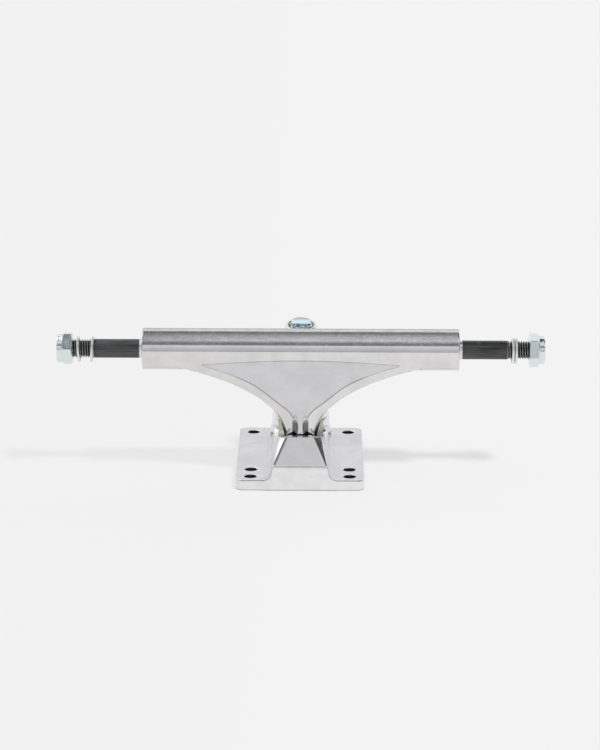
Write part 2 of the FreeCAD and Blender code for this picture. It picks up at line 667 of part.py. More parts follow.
def hanger():
    """Hanger casting: axle tube, gusset, stem, ring and its bushing seats."""
    half_tube = size("tube_length") / 2
    tube = turned_body("hanger_tube", [
        ("0", "0"),
        ("Sizes.tube_radius - Sizes.tube_end_chamfer", "0"),
        ("Sizes.tube_radius", "Sizes.tube_end_chamfer"),
        ("Sizes.tube_radius", "Sizes.tube_length - Sizes.tube_end_chamfer"),
        ("Sizes.tube_radius - Sizes.tube_end_chamfer", "Sizes.tube_length"),
        ("0", "Sizes.tube_length")])
    tube.Placement = along(X_AXIS, AXLE_CENTRE - X_AXIS * half_tube)
    gusset = carried("hanger_gusset", gusset_shape())
    web = carried("hanger_web", web_shape())
    stem = carried("hanger_stem", stem_shape())
    ring = cylinder("hanger_ring", "Sizes.ring_radius", "Sizes.ring_thickness",
                    along(KINGPIN_UP, on_kingpin(-size("ring_thickness") / 2)))
    casting = joined("hanger_casting", "MultiFuse", tube, gusset, web, stem, ring)
    casting.Refine = True
    seat_radius = "Sizes.bushing_radius + Sizes.ring_seat_clearance"
    seat_depth = "Sizes.ring_seat_depth + Sizes.overrun"
    cuts = [
        cylinder("axle_bore", "Sizes.axle_radius", "Sizes.tube_length + 2 * Sizes.overrun",
                 along(X_AXIS, AXLE_CENTRE - X_AXIS * (half_tube + size("overrun")))),
        cylinder("ring_bore", "Sizes.ring_bore_radius", "Sizes.ring_thickness + 2 * Sizes.overrun",
                 along(KINGPIN_UP, on_kingpin(-size("ring_thickness") / 2 - size("overrun")))),
        cylinder("ring_seat_upper", seat_radius, seat_depth, along(KINGPIN_UP, above_ring(RING_FLOOR))),
        cylinder("ring_seat_lower", seat_radius, seat_depth, along(-KINGPIN_UP, below_ring(RING_FLOOR))),
        carried("flute_left", flute_shape(-1)),
        carried("flute_right", flute_shape(1))]
    return joined("hanger", "Cut", casting, joined("hanger_tools", "MultiFuse", *cuts))


def axle():
    """Through axle with stepped thread lands and chamfered tips."""
    body = turned_body("axle", [
        ("0", "0"),
        ("Sizes.axle_thread_radius - Sizes.axle_tip_chamfer", "0"),
        ("Sizes.axle_thread_radius", "Sizes.axle_tip_chamfer"),
        ("Sizes.axle_thread_radius", "Sizes.axle_thread_length"),
        ("Sizes.axle_radius", "Sizes.axle_thread_length"),
        ("Sizes.axle_radius", "Sizes.axle_length - Sizes.axle_thread_length"),
        ("Sizes.axle_thread_radius", "Sizes.axle_length - Sizes.axle_thread_length"),
        ("Sizes.axle_thread_radius", "Sizes.axle_length - Sizes.axle_tip_chamfer"),
        ("Sizes.axle_thread_radius - Sizes.axle_tip_chamfer", "Sizes.axle_length"),
        ("0", "Sizes.axle_length")])
    body.Placement = along(X_AXIS, AXLE_CENTRE - X_AXIS * size("axle_length") / 2)
    return body


def speed_ring(label, outwards):
    """Thin washer that runs loose on the axle, placed from the face of its nut."""
    body = turned_body(label, [
        ("Sizes.axle_radius + Sizes.speed_ring_clearance", "0"),
        ("Sizes.speed_ring_radius", "0"),
        ("Sizes.speed_ring_radius", "Sizes.speed_ring_thickness"),
        ("Sizes.axle_radius + Sizes.speed_ring_clearance", "Sizes.speed_ring_thickness")])
    centre = nut_face(outwards) - outwards * size(label + "_gap")
    lean = Placement(centre, Rotation(Y_AXIS, 90.0 + size(label + "_tilt")))
    body.Placement = lean.multiply(Placement(Vector(0, 0, -size("speed_ring_thickness") / 2), Rotation()))
    return body


def nut_face(outwards):
    """Centre of an axle nut's inner face, towards one end of the axle."""
    end = size("axle_length") / 2 + size("axle_nut_overhang")
    return AXLE_CENTRE + outwards * (end - size("axle_nut_hex") - size("axle_nut_collar"))


def build():
    """Make every piece and return them by node name."""
    lower_lip = "(Sizes.bushing_radius + Sizes.washer_lip_clearance)"
    upper_lip = "(Sizes.upper_bushing_top_radius + Sizes.washer_lip_clearance)"
    parts = {
        "baseplate": baseplate(),
        "pivot_cup": pivot_cup(),
        "kingpin": kingpin(),
        "lower_washer": cup_washer("lower_washer", lower_lip, along(KINGPIN_UP, below_ring(SEAT_DEPTH))),
        "lower_bushing": lower_bushing(),
        "hanger": hanger(),
        "upper_bushing": upper_bushing(),
        "upper_washer": cup_washer("upper_washer", upper_lip, along(-KINGPIN_UP, above_ring(NUT_FOOT))),
        "axle": axle()}
    parts["kingpin_nut"], parts["kingpin_nut_insert"] = lock_nut(
        "kingpin_nut", "kingpin_nut", "Sizes.kingpin_thread_radius", along(KINGPIN_UP, above_ring(NUT_FOOT)),
        size("kingpin_nut_turn"))
    for side, outwards in (("left", -X_AXIS), ("right", X_AXIS)):
        label = "axle_nut_" + side
        parts[label], parts[label + "_insert"] = lock_nut(
            label, "axle_nut", "Sizes.axle_thread_radius", along(outwards, nut_face(outwards)),
            size(label + "_turn"))
        for row in ("inner", "outer"):
            ring = f"speed_ring_{side}_{row}"
            parts[ring] = speed_ring(ring, outwards)
    return parts


def check(parts):
    """Stop if any object failed or any piece isn't one valid closed solid."""
    doc.recompute()
    for item in doc.Objects:
        if "Invalid" in item.State or "Error" in item.State:
            raise RuntimeError(f"{item.Label} failed: {item.State}")
    for label, item in parts.items():
        shape = item.Shape
        if shape.isNull() or not shape.isValid() or len(shape.Solids) != 1:
            raise RuntimeError(f"{label} isn't one valid solid ({len(shape.Solids)} solids)")


def export(parts):
    """Write one STEP file for each piece."""
    os.makedirs("parts", exist_ok=True)
    for label, item in parts.items():
        item.Shape.exportStep(os.path.join("parts", label + ".step"))
        print(f"{label}: {item.Shape.Volume:.1f} mm3, {len(item.Shape.Faces)} faces")


pieces = build()
check(pieces)
export(pieces)
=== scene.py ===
import logging
import math
from collections.abc import Callable, Mapping, Sequence
from dataclasses import dataclass, field
from enum import Enum

import bpy
import numpy as np
from mathutils import Matrix, Vector


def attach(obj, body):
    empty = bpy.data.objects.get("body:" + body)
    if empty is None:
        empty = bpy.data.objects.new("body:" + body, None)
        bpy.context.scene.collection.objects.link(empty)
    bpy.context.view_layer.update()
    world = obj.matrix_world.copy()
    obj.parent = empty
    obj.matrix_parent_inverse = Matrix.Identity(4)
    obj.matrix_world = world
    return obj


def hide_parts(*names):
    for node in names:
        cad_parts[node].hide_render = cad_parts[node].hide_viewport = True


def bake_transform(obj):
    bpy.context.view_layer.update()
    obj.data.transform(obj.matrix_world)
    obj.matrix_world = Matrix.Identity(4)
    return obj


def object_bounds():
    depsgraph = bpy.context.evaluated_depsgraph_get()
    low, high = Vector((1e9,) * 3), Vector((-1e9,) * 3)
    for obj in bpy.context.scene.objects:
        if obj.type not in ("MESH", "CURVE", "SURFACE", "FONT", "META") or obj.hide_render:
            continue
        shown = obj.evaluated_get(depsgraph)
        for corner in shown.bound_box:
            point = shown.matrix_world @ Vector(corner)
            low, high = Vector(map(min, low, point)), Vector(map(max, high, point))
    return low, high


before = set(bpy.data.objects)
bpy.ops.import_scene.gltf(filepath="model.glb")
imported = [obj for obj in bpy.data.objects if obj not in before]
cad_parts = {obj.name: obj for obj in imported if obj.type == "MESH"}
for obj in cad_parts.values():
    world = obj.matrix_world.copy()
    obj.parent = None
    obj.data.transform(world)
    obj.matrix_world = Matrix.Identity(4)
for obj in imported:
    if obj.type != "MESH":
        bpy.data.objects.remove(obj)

LOG = logging.getLogger("skateboard_truck")
MM = 0.001
Array = np.ndarray
Triple = tuple[float, float, float]
Corner = tuple[float, float, float]
CAD_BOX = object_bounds()
SHAFT_TURNS = 96
RIM_MARK = "face_rim"


def unit(vector: Sequence[float]) -> Array:
    """Vector of length one in the same direction."""
    array = np.asarray(vector, float)
    return array / np.linalg.norm(array)


def around(turns: int) -> Array:
    """Angles of even steps round an axis."""
    return np.arange(turns) * 2 * math.pi / turns


def hexagon_reach(half: float, angle: Array) -> Array:
    """Distance from a hexagon's centre to its flats, at angles round it."""
    return half / np.cos(np.mod(angle, math.pi / 3) - math.pi / 6)


@dataclass(frozen=True)
class Layout:
    """Points and directions that the sub-assemblies share, in millimetres."""

    pivot: Triple = (0.0, -27.8, 11.36)
    ring_centre: Triple = (0.0, 14.8, 34.8)
    axle_centre: Triple = (0.0, -7.7, 51.5)
    kingpin_lean: float = 10.0
    ring_thickness: float = 7.0
    ring_seat_depth: float = 1.0
    lower_bushing_height: float = 14.9
    upper_bushing_height: float = 9.6
    washer_thickness: float = 1.6
    bushing_radius: float = 10.4
    boss_floor: float = 8.5
    plate_thickness: float = 4.5
    plate_front: float = -42.4025
    hole_across: float = 41.275
    hole_along: float = 53.975
    old_step: float = 9.525
    face_foot: Triple = (0.0, -27.9006, 20.5041)
    face_head: Triple = (0.0, -16.1, 49.1)

    @property
    def kingpin_up(self) -> Array:
        """Direction of the kingpin, from its head to its nut."""
        lean = math.radians(self.kingpin_lean)
        return np.array([0.0, -math.sin(lean), math.cos(lean)])

    @property
    def kingpin_side(self) -> Array:
        """Direction square to the kingpin, away from the pivot."""
        up = self.kingpin_up
        return np.array([0.0, up[2], -up[1]])

    @property
    def stem_up(self) -> Array:
        """Steering axis, from the pivot to the ring's centre."""
        return unit(np.subtract(self.ring_centre, self.pivot))

    @property
    def face_up(self) -> Array:
        """Direction up the hanger's crowned face."""
        return unit(np.subtract(self.face_head, self.face_foot))

    @property
    def face_in(self) -> Array:
        """Direction square to the crowned face, into the hanger."""
        up = self.face_up
        return np.array([0.0, up[2], -up[1]])

    @property
    def hole_rows(self) -> Triple:
        """Where the rows of deck holes are along Y: rear, middle and front."""
        half = self.hole_along / 2
        return half, -half, -half - self.old_step

    @property
    def ring_floor(self) -> float:
        """Half distance between the ring's two bushing seats."""
        return self.ring_thickness / 2 - self.ring_seat_depth

    @property
    def boss_seat(self) -> float:
        """Depth of the boss's top below the ring's centre, along the kingpin."""
        return self.ring_floor + self.lower_bushing_height + self.washer_thickness

    @property
    def head_depth(self) -> float:
        """Depth of the kingpin head's top below the ring's centre."""
        return self.boss_seat + self.boss_floor

    @property
    def nut_foot(self) -> float:
        """Height of the kingpin nut's seat above the ring's centre."""
        return self.ring_floor + self.upper_bushing_height + self.washer_thickness

    def on_kingpin(self, distance: float) -> Array:
        """Point on the kingpin's line, measured from the ring's centre."""
        return np.asarray(self.ring_centre) + self.kingpin_up * distance


LAYOUT = Layout()


# Meshes

def placed(name: str, data: bpy.types.ID) -> bpy.types.Object:
    """Object made from its data and linked to the scene.

    Args:
        name: Name of the object.
        data: Its mesh, light or camera.

    Returns:
        The object.
    """
    made = bpy.data.objects.new(name, data)
    bpy.context.scene.collection.objects.link(made)
    return made


@dataclass(frozen=True)
class Pose:
    """Place of a turned piece: where its foot is, where its axis points and its turn in degrees."""

    origin: Sequence[float]
    direction: Sequence[float]
    turn: float = 0.0

    def apply(self, points: Array) -> Array:
        """Move points from the piece's own frame to the row frame.

        Args:
            points: Points as an array of three columns, in millimetres.

        Returns:
            The same points in the row frame, in millimetres.
        """
        tilt = Vector((0, 0, 1)).rotation_difference(Vector(self.direction)).to_matrix()
        spin = Matrix.Rotation(math.radians(self.turn), 3, "Z")
        return points @ np.array(tilt @ spin).T + np.asarray(self.origin, float)


def mesh_piece(name: str, points: Array, faces: Sequence[Sequence[int]], sharp: float | None = 35.0,
               normals: Array | None = None) -> bpy.types.Object:
    """Make an object from points in millimetres.

    Args:
        name: Name of the piece.
        points: Vertices, in millimetres, in the row frame.
        faces: Corner indices of each face.
        sharp: Angle in degrees above which an edge stays sharp, or None.
        normals: A shading normal for each vertex, or None.

    Returns:
        The new object, linked to the scene.
    """
    mesh = bpy.data.meshes.new(name)
    mesh.from_pydata((np.asarray(points) * MM).tolist(), [], [list(map(int, f)) for f in faces])
    mesh.validate()
    mesh.polygons.foreach_set("use_smooth", [True] * len(mesh.polygons))
    if normals is not None:
        mesh.normals_split_custom_set_from_vertices(np.asarray(normals, float).tolist())
    elif sharp is not None:
        mesh.set_sharp_from_angle(angle=math.radians(sharp))
    return placed(name, mesh)


def spun(name: str, radii: Array, heights: Array, pose: Pose, ring: bool,
         sharp: float = 35.0) -> bpy.types.Object:
    """Piece turned about an axis from rows of radii and heights.

    Args:
        name: Name of the piece.
        radii: Radius of each row and angle, in millimetres.
        heights: Height of each row and angle, in millimetres.
        pose: Where the piece goes.
        ring: Whether the last row joins the first, else both ends are closed at the axis.
        sharp: Angle in degrees above which an edge stays sharp.

    Returns:
        The new object.
    """
    rows, turns = radii.shape
    angle = around(turns)
    points = np.stack([radii * np.cos(angle), radii * np.sin(angle), heights], axis=-1).reshape(-1, 3)
    here = np.arange(rows * turns).reshape(rows, turns)
    beside = np.roll(here, -1, axis=1)
    low, high = (here, np.roll(here, -1, axis=0)) if ring else (here[:-1], here[1:])
    low_side, high_side = (beside, np.roll(beside, -1, axis=0)) if ring else (beside[:-1], beside[1:])
    quads = np.stack([low, low_side, high_side, high], axis=-1).reshape(-1, 4)
    faces: list[Sequence[int]] = quads.tolist()
    if not ring:
        centre = len(points)
        ends = [[0.0, 0.0, heights[0].mean()], [0.0, 0.0, heights[-1].mean()]]
        points = np.vstack([points, ends])
        faces += [[centre, int(b), int(a)] for a, b in zip(here[0], beside[0])]
        faces += [[centre + 1, int(a), int(b)] for a, b in zip(here[-1], beside[-1])]
    return mesh_piece(name, pose.apply(points), faces, sharp)


def rounded(corners: Sequence[Corner], steps: int = 5) -> Array:
    """Closed outline with its corners rounded.

    Args:
        corners: (across, along, corner radius) of each corner, in millimetres.
        steps: Number of steps in each round.

    Returns:
        Points of the outline as an array of two columns.
    """
    points: list[Array] = []
    for index, (across, along, radius) in enumerate(corners):
        here = np.array([across, along])
        if radius <= 0:
            points.append(here)
            continue
        before = unit(np.array(corners[index - 1][:2]) - here)
        after = unit(np.array(corners[(index + 1) % len(corners)][:2]) - here)
        half = math.acos(float(np.clip(before @ after, -1, 1))) / 2
        centre = here + unit(before + after) * radius / math.sin(half)
        start = here + before * radius / math.tan(half) - centre
        end = here + after * radius / math.tan(half) - centre
        sweep = math.pi - 2 * half
        for step in range(steps + 1):
            share = step / steps
            weight_start = math.sin((1 - share) * sweep) / math.sin(sweep)
            weight_end = math.sin(share * sweep) / math.sin(sweep)
            points.append(centre + start * weight_start + end * weight_end)
    return np.array(points)


def revolved(name: str, outline: Array, pose: Pose, ring: bool = True, turns: int = 128) -> bpy.types.Object:
    """Piece turned from the points of an outline.

    Args:
        name: Name of the piece.
        outline: Radius and height of each point, in millimetres.
        pose: Where the piece goes.
        ring: Whether the outline is a loop clear of the axis, else it starts and ends at the axis.
        turns: Number of steps round the axis.

    Returns:
        The new object.
    """
    radii, heights = (np.repeat(outline[:, [column]], turns, axis=1) for column in (0, 1))
    return spun(name, radii, heights, pose, ring)


def turned(name: str, corners: Sequence[Corner], pose: Pose) -> bpy.types.Object:
    """Ring turned from an outline with rounded corners.

    Args:
        name: Name of the piece.
        corners: (radius, height, corner radius) of each corner, in millimetres.
        pose: Where the piece goes.

    Returns:
        The new object.
    """
    return revolved(name, rounded(corners), pose)


# Solids from signed distances

class Form:
    """Solid given by a signed distance in millimetres, negative inside."""

    def __init__(self, distance: Callable[[Array], Array]) -> None:
        """Keep the distance function.

        Args:
            distance: Function from points, an array of three columns, to distances.
        """
        self.distance = distance

    def joined(self, other: "Form", fillet: float) -> "Form":
        """Fusion with another form.

        Args:
            other: The other form.
            fillet: Radius of the fillet along the join.

        Returns:
            The form.
        """
        def distance(points: Array) -> Array:
            """Distance to the fusion.

            Args:
                points: Points as an array of three columns.

            Returns:
                One distance for each point.
            """
            a, b = self.distance(points), other.distance(points)
            if fillet <= 0:
                return np.minimum(a, b)
            reach = np.hypot(np.maximum(fillet - a, 0), np.maximum(fillet - b, 0))
            return np.maximum(fillet, np.minimum(a, b)) - reach
        return Form(distance)

    def common(self, other: "Form", edge: float) -> "Form":
        """Common part with another form.

        Args:
            other: The other form.
            edge: Radius of the new edges.

        Returns:
            The form.
        """
        def distance(points: Array) -> Array:
            """Distance to the common part.

            Args:
                points: Points as an array of three columns.

            Returns:
                One distance for each point.
            """
            a, b = self.distance(points), other.distance(points)
            if edge <= 0:
                return np.maximum(a, b)
            reach = np.hypot(np.maximum(edge + a, 0), np.maximum(edge + b, 0))
            return np.minimum(-edge, np.maximum(a, b)) + reach
        return Form(distance)

    def cut(self, other: "Form", edge: float) -> "Form":
        """What another form leaves of this one, with its new edges rounded to a radius."""
        return self.common(Form(lambda points: -other.distance(points)), edge)


def plane(point: Sequence[float], outwards: Sequence[float]) -> Form:
    """Half space behind a plane.

    Args:
        point: A point on the plane.
        outwards: Direction out of the solid.

    Returns:
        The form.
    """
    origin, normal = np.asarray(point, np.float32), unit(outwards).astype(np.float32)
    return Form(lambda points: (points - origin) @ normal)


def rod(foot: Sequence[float], direction: Sequence[float], radius: float, length: float,
        edge: float = 0.0, spread: float = 0.0) -> Form:
    """Round bar with flat ends.

    Args:
        foot: Centre of its first end.
        direction: Where it points.
        radius: Radius at the first end.
        length: Length along the direction.
        edge: Radius of its two rims.
        spread: Gain in radius for each millimetre along it.

    Returns:
        The form.
    """
    origin, axis = np.asarray(foot, np.float32), unit(direction).astype(np.float32)
    steepness = math.cos(math.atan(spread))

    def side(points: Array) -> Array:
        """Distance to the round side.

        Args:
            points: Points as an array of three columns.

        Returns:
            One distance for each point.
        """
        offset = points - origin
        along = offset @ axis
        across = np.sqrt(np.maximum((offset * offset).sum(axis=1) - along * along, 0))
        return (across - radius - spread * along) * steepness

    def ends(points: Array) -> Array:
        """Distance to the slab between the two ends.

        Args:
            points: Points as an array of three columns.

        Returns:
            One distance for each point.
        """
        along = (points - origin) @ axis
        return np.maximum(-along, along - length)
    return Form(side).common(Form(ends), edge)


def ball(centre: Sequence[float], radius: float) -> Form:
    """Ball about a centre."""
    origin = np.asarray(centre, np.float32)
    return Form(lambda points: np.linalg.norm(points - origin, axis=1) - radius)


def outline_distance(points: Array, corners: Array) -> Array:
    """Signed distance to a closed outline in a plane, negative inside.

    Args:
        points: Points as an array of two columns.
        corners: Corners of the outline as an array of two columns.

    Returns:
        One distance for each point.
    """
    nearest = np.full(len(points), np.inf)
    inside = np.zeros(len(points), bool)
    for start, end in zip(corners, np.roll(corners, -1, axis=0)):
        along = end - start
        offset = points - start
        share = np.clip(offset @ along / max(float(along @ along), 1e-12), 0, 1)
        gap = offset - share[:, None] * along
        nearest = np.minimum(nearest, (gap * gap).sum(axis=1))
        crosses = (start[1] > points[:, 1]) != (end[1] > points[:, 1])
        rise = along[1] if abs(along[1]) > 1e-12 else 1e-12
        inside ^= crosses & (points[:, 0] < start[0] + (points[:, 1] - start[1]) / rise * along[0])
    return np.where(inside, -1, 1) * np.sqrt(nearest)


class OutlineTable:
    """Signed distance to an outline, worked out once on a fine grid and read between its points."""

    def __init__(self, corners: Sequence[Sequence[float]], low: Sequence[float], high: Sequence[float],
                 step: float) -> None:
        """Fill the table.

        Args:
            corners: Corners of the outline.
            low: Lowest corner of the table.
            high: Highest corner of the table.
            step: Distance between its points.
        """
        self.low, self.step = np.array(low), step
        counts = [int((b - a) / step) + 2 for a, b in zip(low, high)]
        lines = [a + np.arange(n) * step for a, n in zip(low, counts)]
        grid = np.stack(np.meshgrid(*lines, indexing="ij"), -1).reshape(-1, 2)
        self.table = outline_distance(grid, np.asarray(corners, float)).reshape(counts)

    def __call__(self, across: Array, along: Array) -> Array:
        """Distance at points.

        Args:
            across: First coordinate of each point.
            along: Second coordinate of each point.

        Returns:
            One distance for each point.
        """
        places = [(across - self.low[0]) / self.step, (along - self.low[1]) / self.step]
        limits = [n - 1.001 for n in self.table.shape]
        places = [np.clip(p, 0, limit) for p, limit in zip(places, limits)]
        low = [p.astype(int) for p in places]
        u, v = places[0] - low[0], places[1] - low[1]
        t = self.table
        foot = t[low[0], low[1]] * (1 - u) + t[low[0] + 1, low[1]] * u
        head = t[low[0], low[1] + 1] * (1 - u) + t[low[0] + 1, low[1] + 1] * u
        return foot * (1 - v) + head * v


def side_prism(corners: Sequence[Sequence[float]], half_width: float, edge: float = 0.0) -> Form:
    """Prism across X from an outline of (y, z) corners.

    Args:
        corners: Corners of the outline.
        half_width: Half of its width.
        edge: Radius of its edges.

    Returns:
        The form.
    """
    array, margin = np.asarray(corners, float), 12
    table = OutlineTable(corners, array.min(axis=0) - margin, array.max(axis=0) + margin, 0.2)
    profile = Form(lambda points: table(points[:, 1], points[:, 2]))
    return profile.common(Form(lambda points: np.abs(points[:, 0]) - half_width), edge)


def swept_curve(knots: Sequence[Sequence[float]], steps: int = 8) -> list[Array]:
    """Smooth curve through points of a plane.

    Args:
        knots: The points.
        steps: Number of steps between two of them.

    Returns:
        Points along the curve.
    """
    array = np.asarray(knots, float)
    padded = np.vstack([2 * array[0] - array[1], array, 2 * array[-1] - array[-2]])
    curve = []
    for a, b, c, d in zip(padded, padded[1:], padded[2:], padded[3:]):
        for step in range(steps):
            t = step / steps
            curve.append(0.5 * (2 * b + (c - a) * t + (2 * a - 5 * b + 4 * c - d) * t * t
                                + (3 * b - a - 3 * c + d) * t ** 3))
    return curve + [array[-1]]


@dataclass
class NetMesher:
    """Turns a form into a mesh of even quads that lie on its surface."""

    step: float = 0.45
    settle_rounds: int = 3
    settle_reach: float = 0.6
    slope_step: float = 0.12
    block: int = 24

    def mesh(self, name: str, form: Form, low: Triple, high: Triple) -> bpy.types.Object:
        """Mesh a form that is the same on both sides of X = 0.

        Args:
            name: Name of the piece.
            form: The form.
            low: Lowest corner of the piece.
            high: Highest corner of the piece.

        Returns:
            The new object.
        """
        step = self.step * 1
        half = np.arange(0, high[0] + 3 * step, step)
        axes = [half] + [np.arange(low[i] - 2.4 * step, high[i] + 3 * step, step) for i in (1, 2)]
        values = np.empty([len(a) for a in axes], np.float32)
        flat = np.stack(np.meshgrid(axes[1], axes[2], indexing="ij"), -1).reshape(-1, 2).astype(np.float32)
        for first in range(0, len(half), self.block):
            part = half[first:first + self.block].astype(np.float32)
            points = np.column_stack([np.repeat(part, len(flat)), np.tile(flat, (len(part), 1))])
            values[first:first + self.block] = form.distance(points).reshape(-1, *values.shape[1:])
        values = np.concatenate([values[:0:-1], values])
        origin = np.array([-half[-1], axes[1][0], axes[2][0]])
        start, faces = self.net(values, origin, step)
        points = start
        low = np.maximum(low, np.array(CAD_BOX[0]) / MM)
        high = np.minimum(high, np.array(CAD_BOX[1]) / MM)
        for _ in range(self.settle_rounds):
            distance, slope = self.slopes(form, points)
            pull = distance / np.maximum((slope * slope).sum(axis=1), 0.2)
            shift = points - slope * pull[:, None] - start
            reach = np.maximum(np.linalg.norm(shift, axis=1) / (self.settle_reach * step), 1.0)
            points = np.clip(start + shift / reach[:, None], low, high)
        _, slope = self.slopes(form, points)
        normals = slope / np.maximum(np.linalg.norm(slope, axis=1), 1e-6)[:, None]
        return mesh_piece(name, points, faces, None, normals)

    def slopes(self, form: Form, points: Array) -> tuple[Array, Array]:
        """Distance and its slope at points.

        Args:
            form: The form.
            points: Points as an array of three columns.

        Returns:
            The distances and their slopes.
        """
        probe = self.slope_step
        slope = np.empty_like(points)
        for axis in range(3):
            shift = np.zeros(3)
            shift[axis] = probe
            slope[:, axis] = (form.distance(points + shift) - form.distance(points - shift)) / (2 * probe)
        return form.distance(points), slope

    @staticmethod
    def net(values: Array, origin: Array, step: float) -> tuple[Array, Array]:
        """Surface net of a grid of distances: one point in each cell that the surface crosses.

        Args:
            values: Distances on the grid.
            origin: Place of the grid's first point.
            step: Distance between its points.

        Returns:
            The points and the quads.
        """
        inside = values < 0
        shape = values.shape
        cells = tuple(n - 1 for n in shape)
        total = np.zeros((int(np.prod(cells)), 3))
        count = np.zeros(len(total))
        quads = []
        for axis in range(3):
            lower = tuple(slice(0, -1) if a == axis else slice(None) for a in range(3))
            upper = tuple(slice(1, None) if a == axis else slice(None) for a in range(3))
            crossing = np.argwhere(inside[lower] != inside[upper])
            u, v = (axis + 1) % 3, (axis + 2) % 3
            within = ((crossing[:, u] > 0) & (crossing[:, v] > 0)
                      & (crossing[:, u] < shape[u] - 1) & (crossing[:, v] < shape[v] - 1))
            crossing = crossing[within]
            first = values[lower][tuple(crossing.T)].astype(float)
            second = values[upper][tuple(crossing.T)].astype(float)
            point = crossing.astype(float)
            point[:, axis] += first / (first - second)
            around = []
            for back_u, back_v in ((0, 0), (1, 0), (1, 1), (0, 1)):
                cell = crossing.copy()
                cell[:, u] -= back_u
                cell[:, v] -= back_v
                index = np.ravel_multi_index(tuple(cell.T), cells)
                for component in range(3):
                    total[:, component] += np.bincount(index, point[:, component], len(total))
                count += np.bincount(index, minlength=len(total))
                around.append(index)
            quad = np.stack(around, axis=1)
            turned_over = first >= 0
            quad[turned_over] = quad[turned_over][:, ::-1]
            quads.append(quad)
        used, faces = np.unique(np.concatenate(quads), return_inverse=True)
        points = total[used] / count[used, None]
        return origin + points * step, faces.reshape(-1, 4)


# Shader nodes

class Signal:
    """Output socket of a node that takes part in sums and products."""

    def __init__(self, graph: "Graph", socket: bpy.types.NodeSocket) -> None:
        """Wrap a socket.

        Args:
            graph: Graph that the socket's node is in.
            socket: The output socket.
        """
        self.graph = graph
        self.socket = socket

    def _math(self, operation: str, first: "Signal | float", second: "Signal | float") -> "Signal":
        """Result of a Math node."""
        return self.graph.signal("ShaderNodeMath", {"operation": operation}, {0: first, 1: second})

    def __add__(self, other: "Signal | float") -> "Signal":
        """Sum."""
        return self._math("ADD", self, other)

    __radd__ = __add__

    def __sub__(self, other: "Signal | float") -> "Signal":
        """Difference."""
        return self._math("SUBTRACT", self, other)

    def __rsub__(self, other: "Signal | float") -> "Signal":
        """Difference, this signal last."""
        return self._math("SUBTRACT", other, self)

    def __mul__(self, other: "Signal | float") -> "Signal":
        """Product."""
        return self._math("MULTIPLY", self, other)

    __rmul__ = __mul__

    def __truediv__(self, other: "Signal | float") -> "Signal":
        """Quotient."""
        return self._math("DIVIDE", self, other)

    def __pow__(self, other: "Signal | float") -> "Signal":
        """Power."""
        return self._math("POWER", self, other)

    def size(self) -> "Signal":
        """Distance from zero."""
        return self._math("ABSOLUTE", self, 0.0)

    def larger(self, other: "Signal | float") -> "Signal":
        """The larger of two signals."""
        return self._math("MAXIMUM", self, other)

    def hypot(self, other: "Signal") -> "Signal":
        """Length of the diagonal of two signals."""
        return (self * self + other * other) ** 0.5

    def step_up(self, low: float, high: float) -> "Signal":
        """Smooth step from 0 at low to 1 at high."""
        return self.graph.signal("ShaderNodeMapRange", {"interpolation_type": "SMOOTHSTEP"},
                                 {"Value": self, "From Min": low, "From Max": high})

    def step_down(self, low: float, high: float) -> "Signal":
        """Smooth step from 1 at low to 0 at high."""
        return 1.0 - self.step_up(low, high)


class Graph:
    """Node tree that is filled by expressions."""

    def __init__(self, tree: bpy.types.NodeTree) -> None:
        """Start with an empty tree."""
        tree.nodes.clear()
        self.tree = tree

    def node(self, kind: str, settings: Mapping[str, object] | None = None,
             inputs: Mapping[str | int, object] | None = None) -> bpy.types.Node:
        """Add a node.

        Args:
            kind: Type of the node.
            settings: Its settings, and "stops" as (place, colour) pairs for a ramp.
            inputs: Values or signals of its sockets, by name or number.

        Returns:
            The node.
        """
        made = self.tree.nodes.new(kind)
        for name, value in (settings or {}).items():
            if name == "stops":
                ramp = made.color_ramp
                for index, (place, tone) in enumerate(value):
                    stop = ramp.elements[index] if index < 2 else ramp.elements.new(place)
                    stop.position, stop.color = place, colour(tone)
            else:
                setattr(made, name, value)
        for name, value in (inputs or {}).items():
            if isinstance(value, Signal):
                self.tree.links.new(value.socket, made.inputs[name])
            else:
                made.inputs[name].default_value = value
        return made

    def signal(self, kind: str, settings: Mapping[str, object] | None = None,
               inputs: Mapping[str | int, object] | None = None, output: str | int = 0) -> Signal:
        """Add a node and give one of its outputs.

        Args:
            kind: Type of the node.
            settings: Its settings.
            inputs: Values or signals of its sockets.
            output: Name or number of the output.

        Returns:
            The output.
        """
        return Signal(self, self.node(kind, settings, inputs).outputs[output])

    def place(self) -> Signal:
        """Place of the surface in the piece's own frame, in metres."""
        return self.signal("ShaderNodeTexCoord", output="Object")

    def parts_of(self, vector: Signal) -> tuple[Signal, Signal, Signal]:
        """The three components of a vector."""
        node = self.node("ShaderNodeSeparateXYZ", inputs={0: vector})
        return tuple(Signal(self, output) for output in node.outputs)

    def stretched(self, vector: Signal, scale: Triple) -> Signal:
        """Vector times a scale for each axis."""
        return self.signal("ShaderNodeVectorMath", {"operation": "MULTIPLY"}, {0: vector, 1: scale})

    def noise(self, vector: Signal, scale: float, detail: float = 3.0, rough: float = 0.5) -> Signal:
        """Cloudy noise, about 0.5 on average."""
        return self.signal("ShaderNodeTexNoise", inputs={
            "Vector": vector, "Scale": scale, "Detail": detail, "Roughness": rough})

    def mixed(self, share: "Signal | float", first: object, second: object) -> Signal:
        """Colour between two colours."""
        return self.signal("ShaderNodeMix", {"data_type": "RGBA", "clamp_factor": True},
                           {0: share, 6: first, 7: second}, output=2)

    def bump(self, strength: float, depth: float, height: Signal) -> Signal:
        """Normal of a surface with a fine relief, its depth in metres."""
        return self.signal("ShaderNodeBump", inputs={
            "Strength": strength, "Distance": depth, "Height": height})


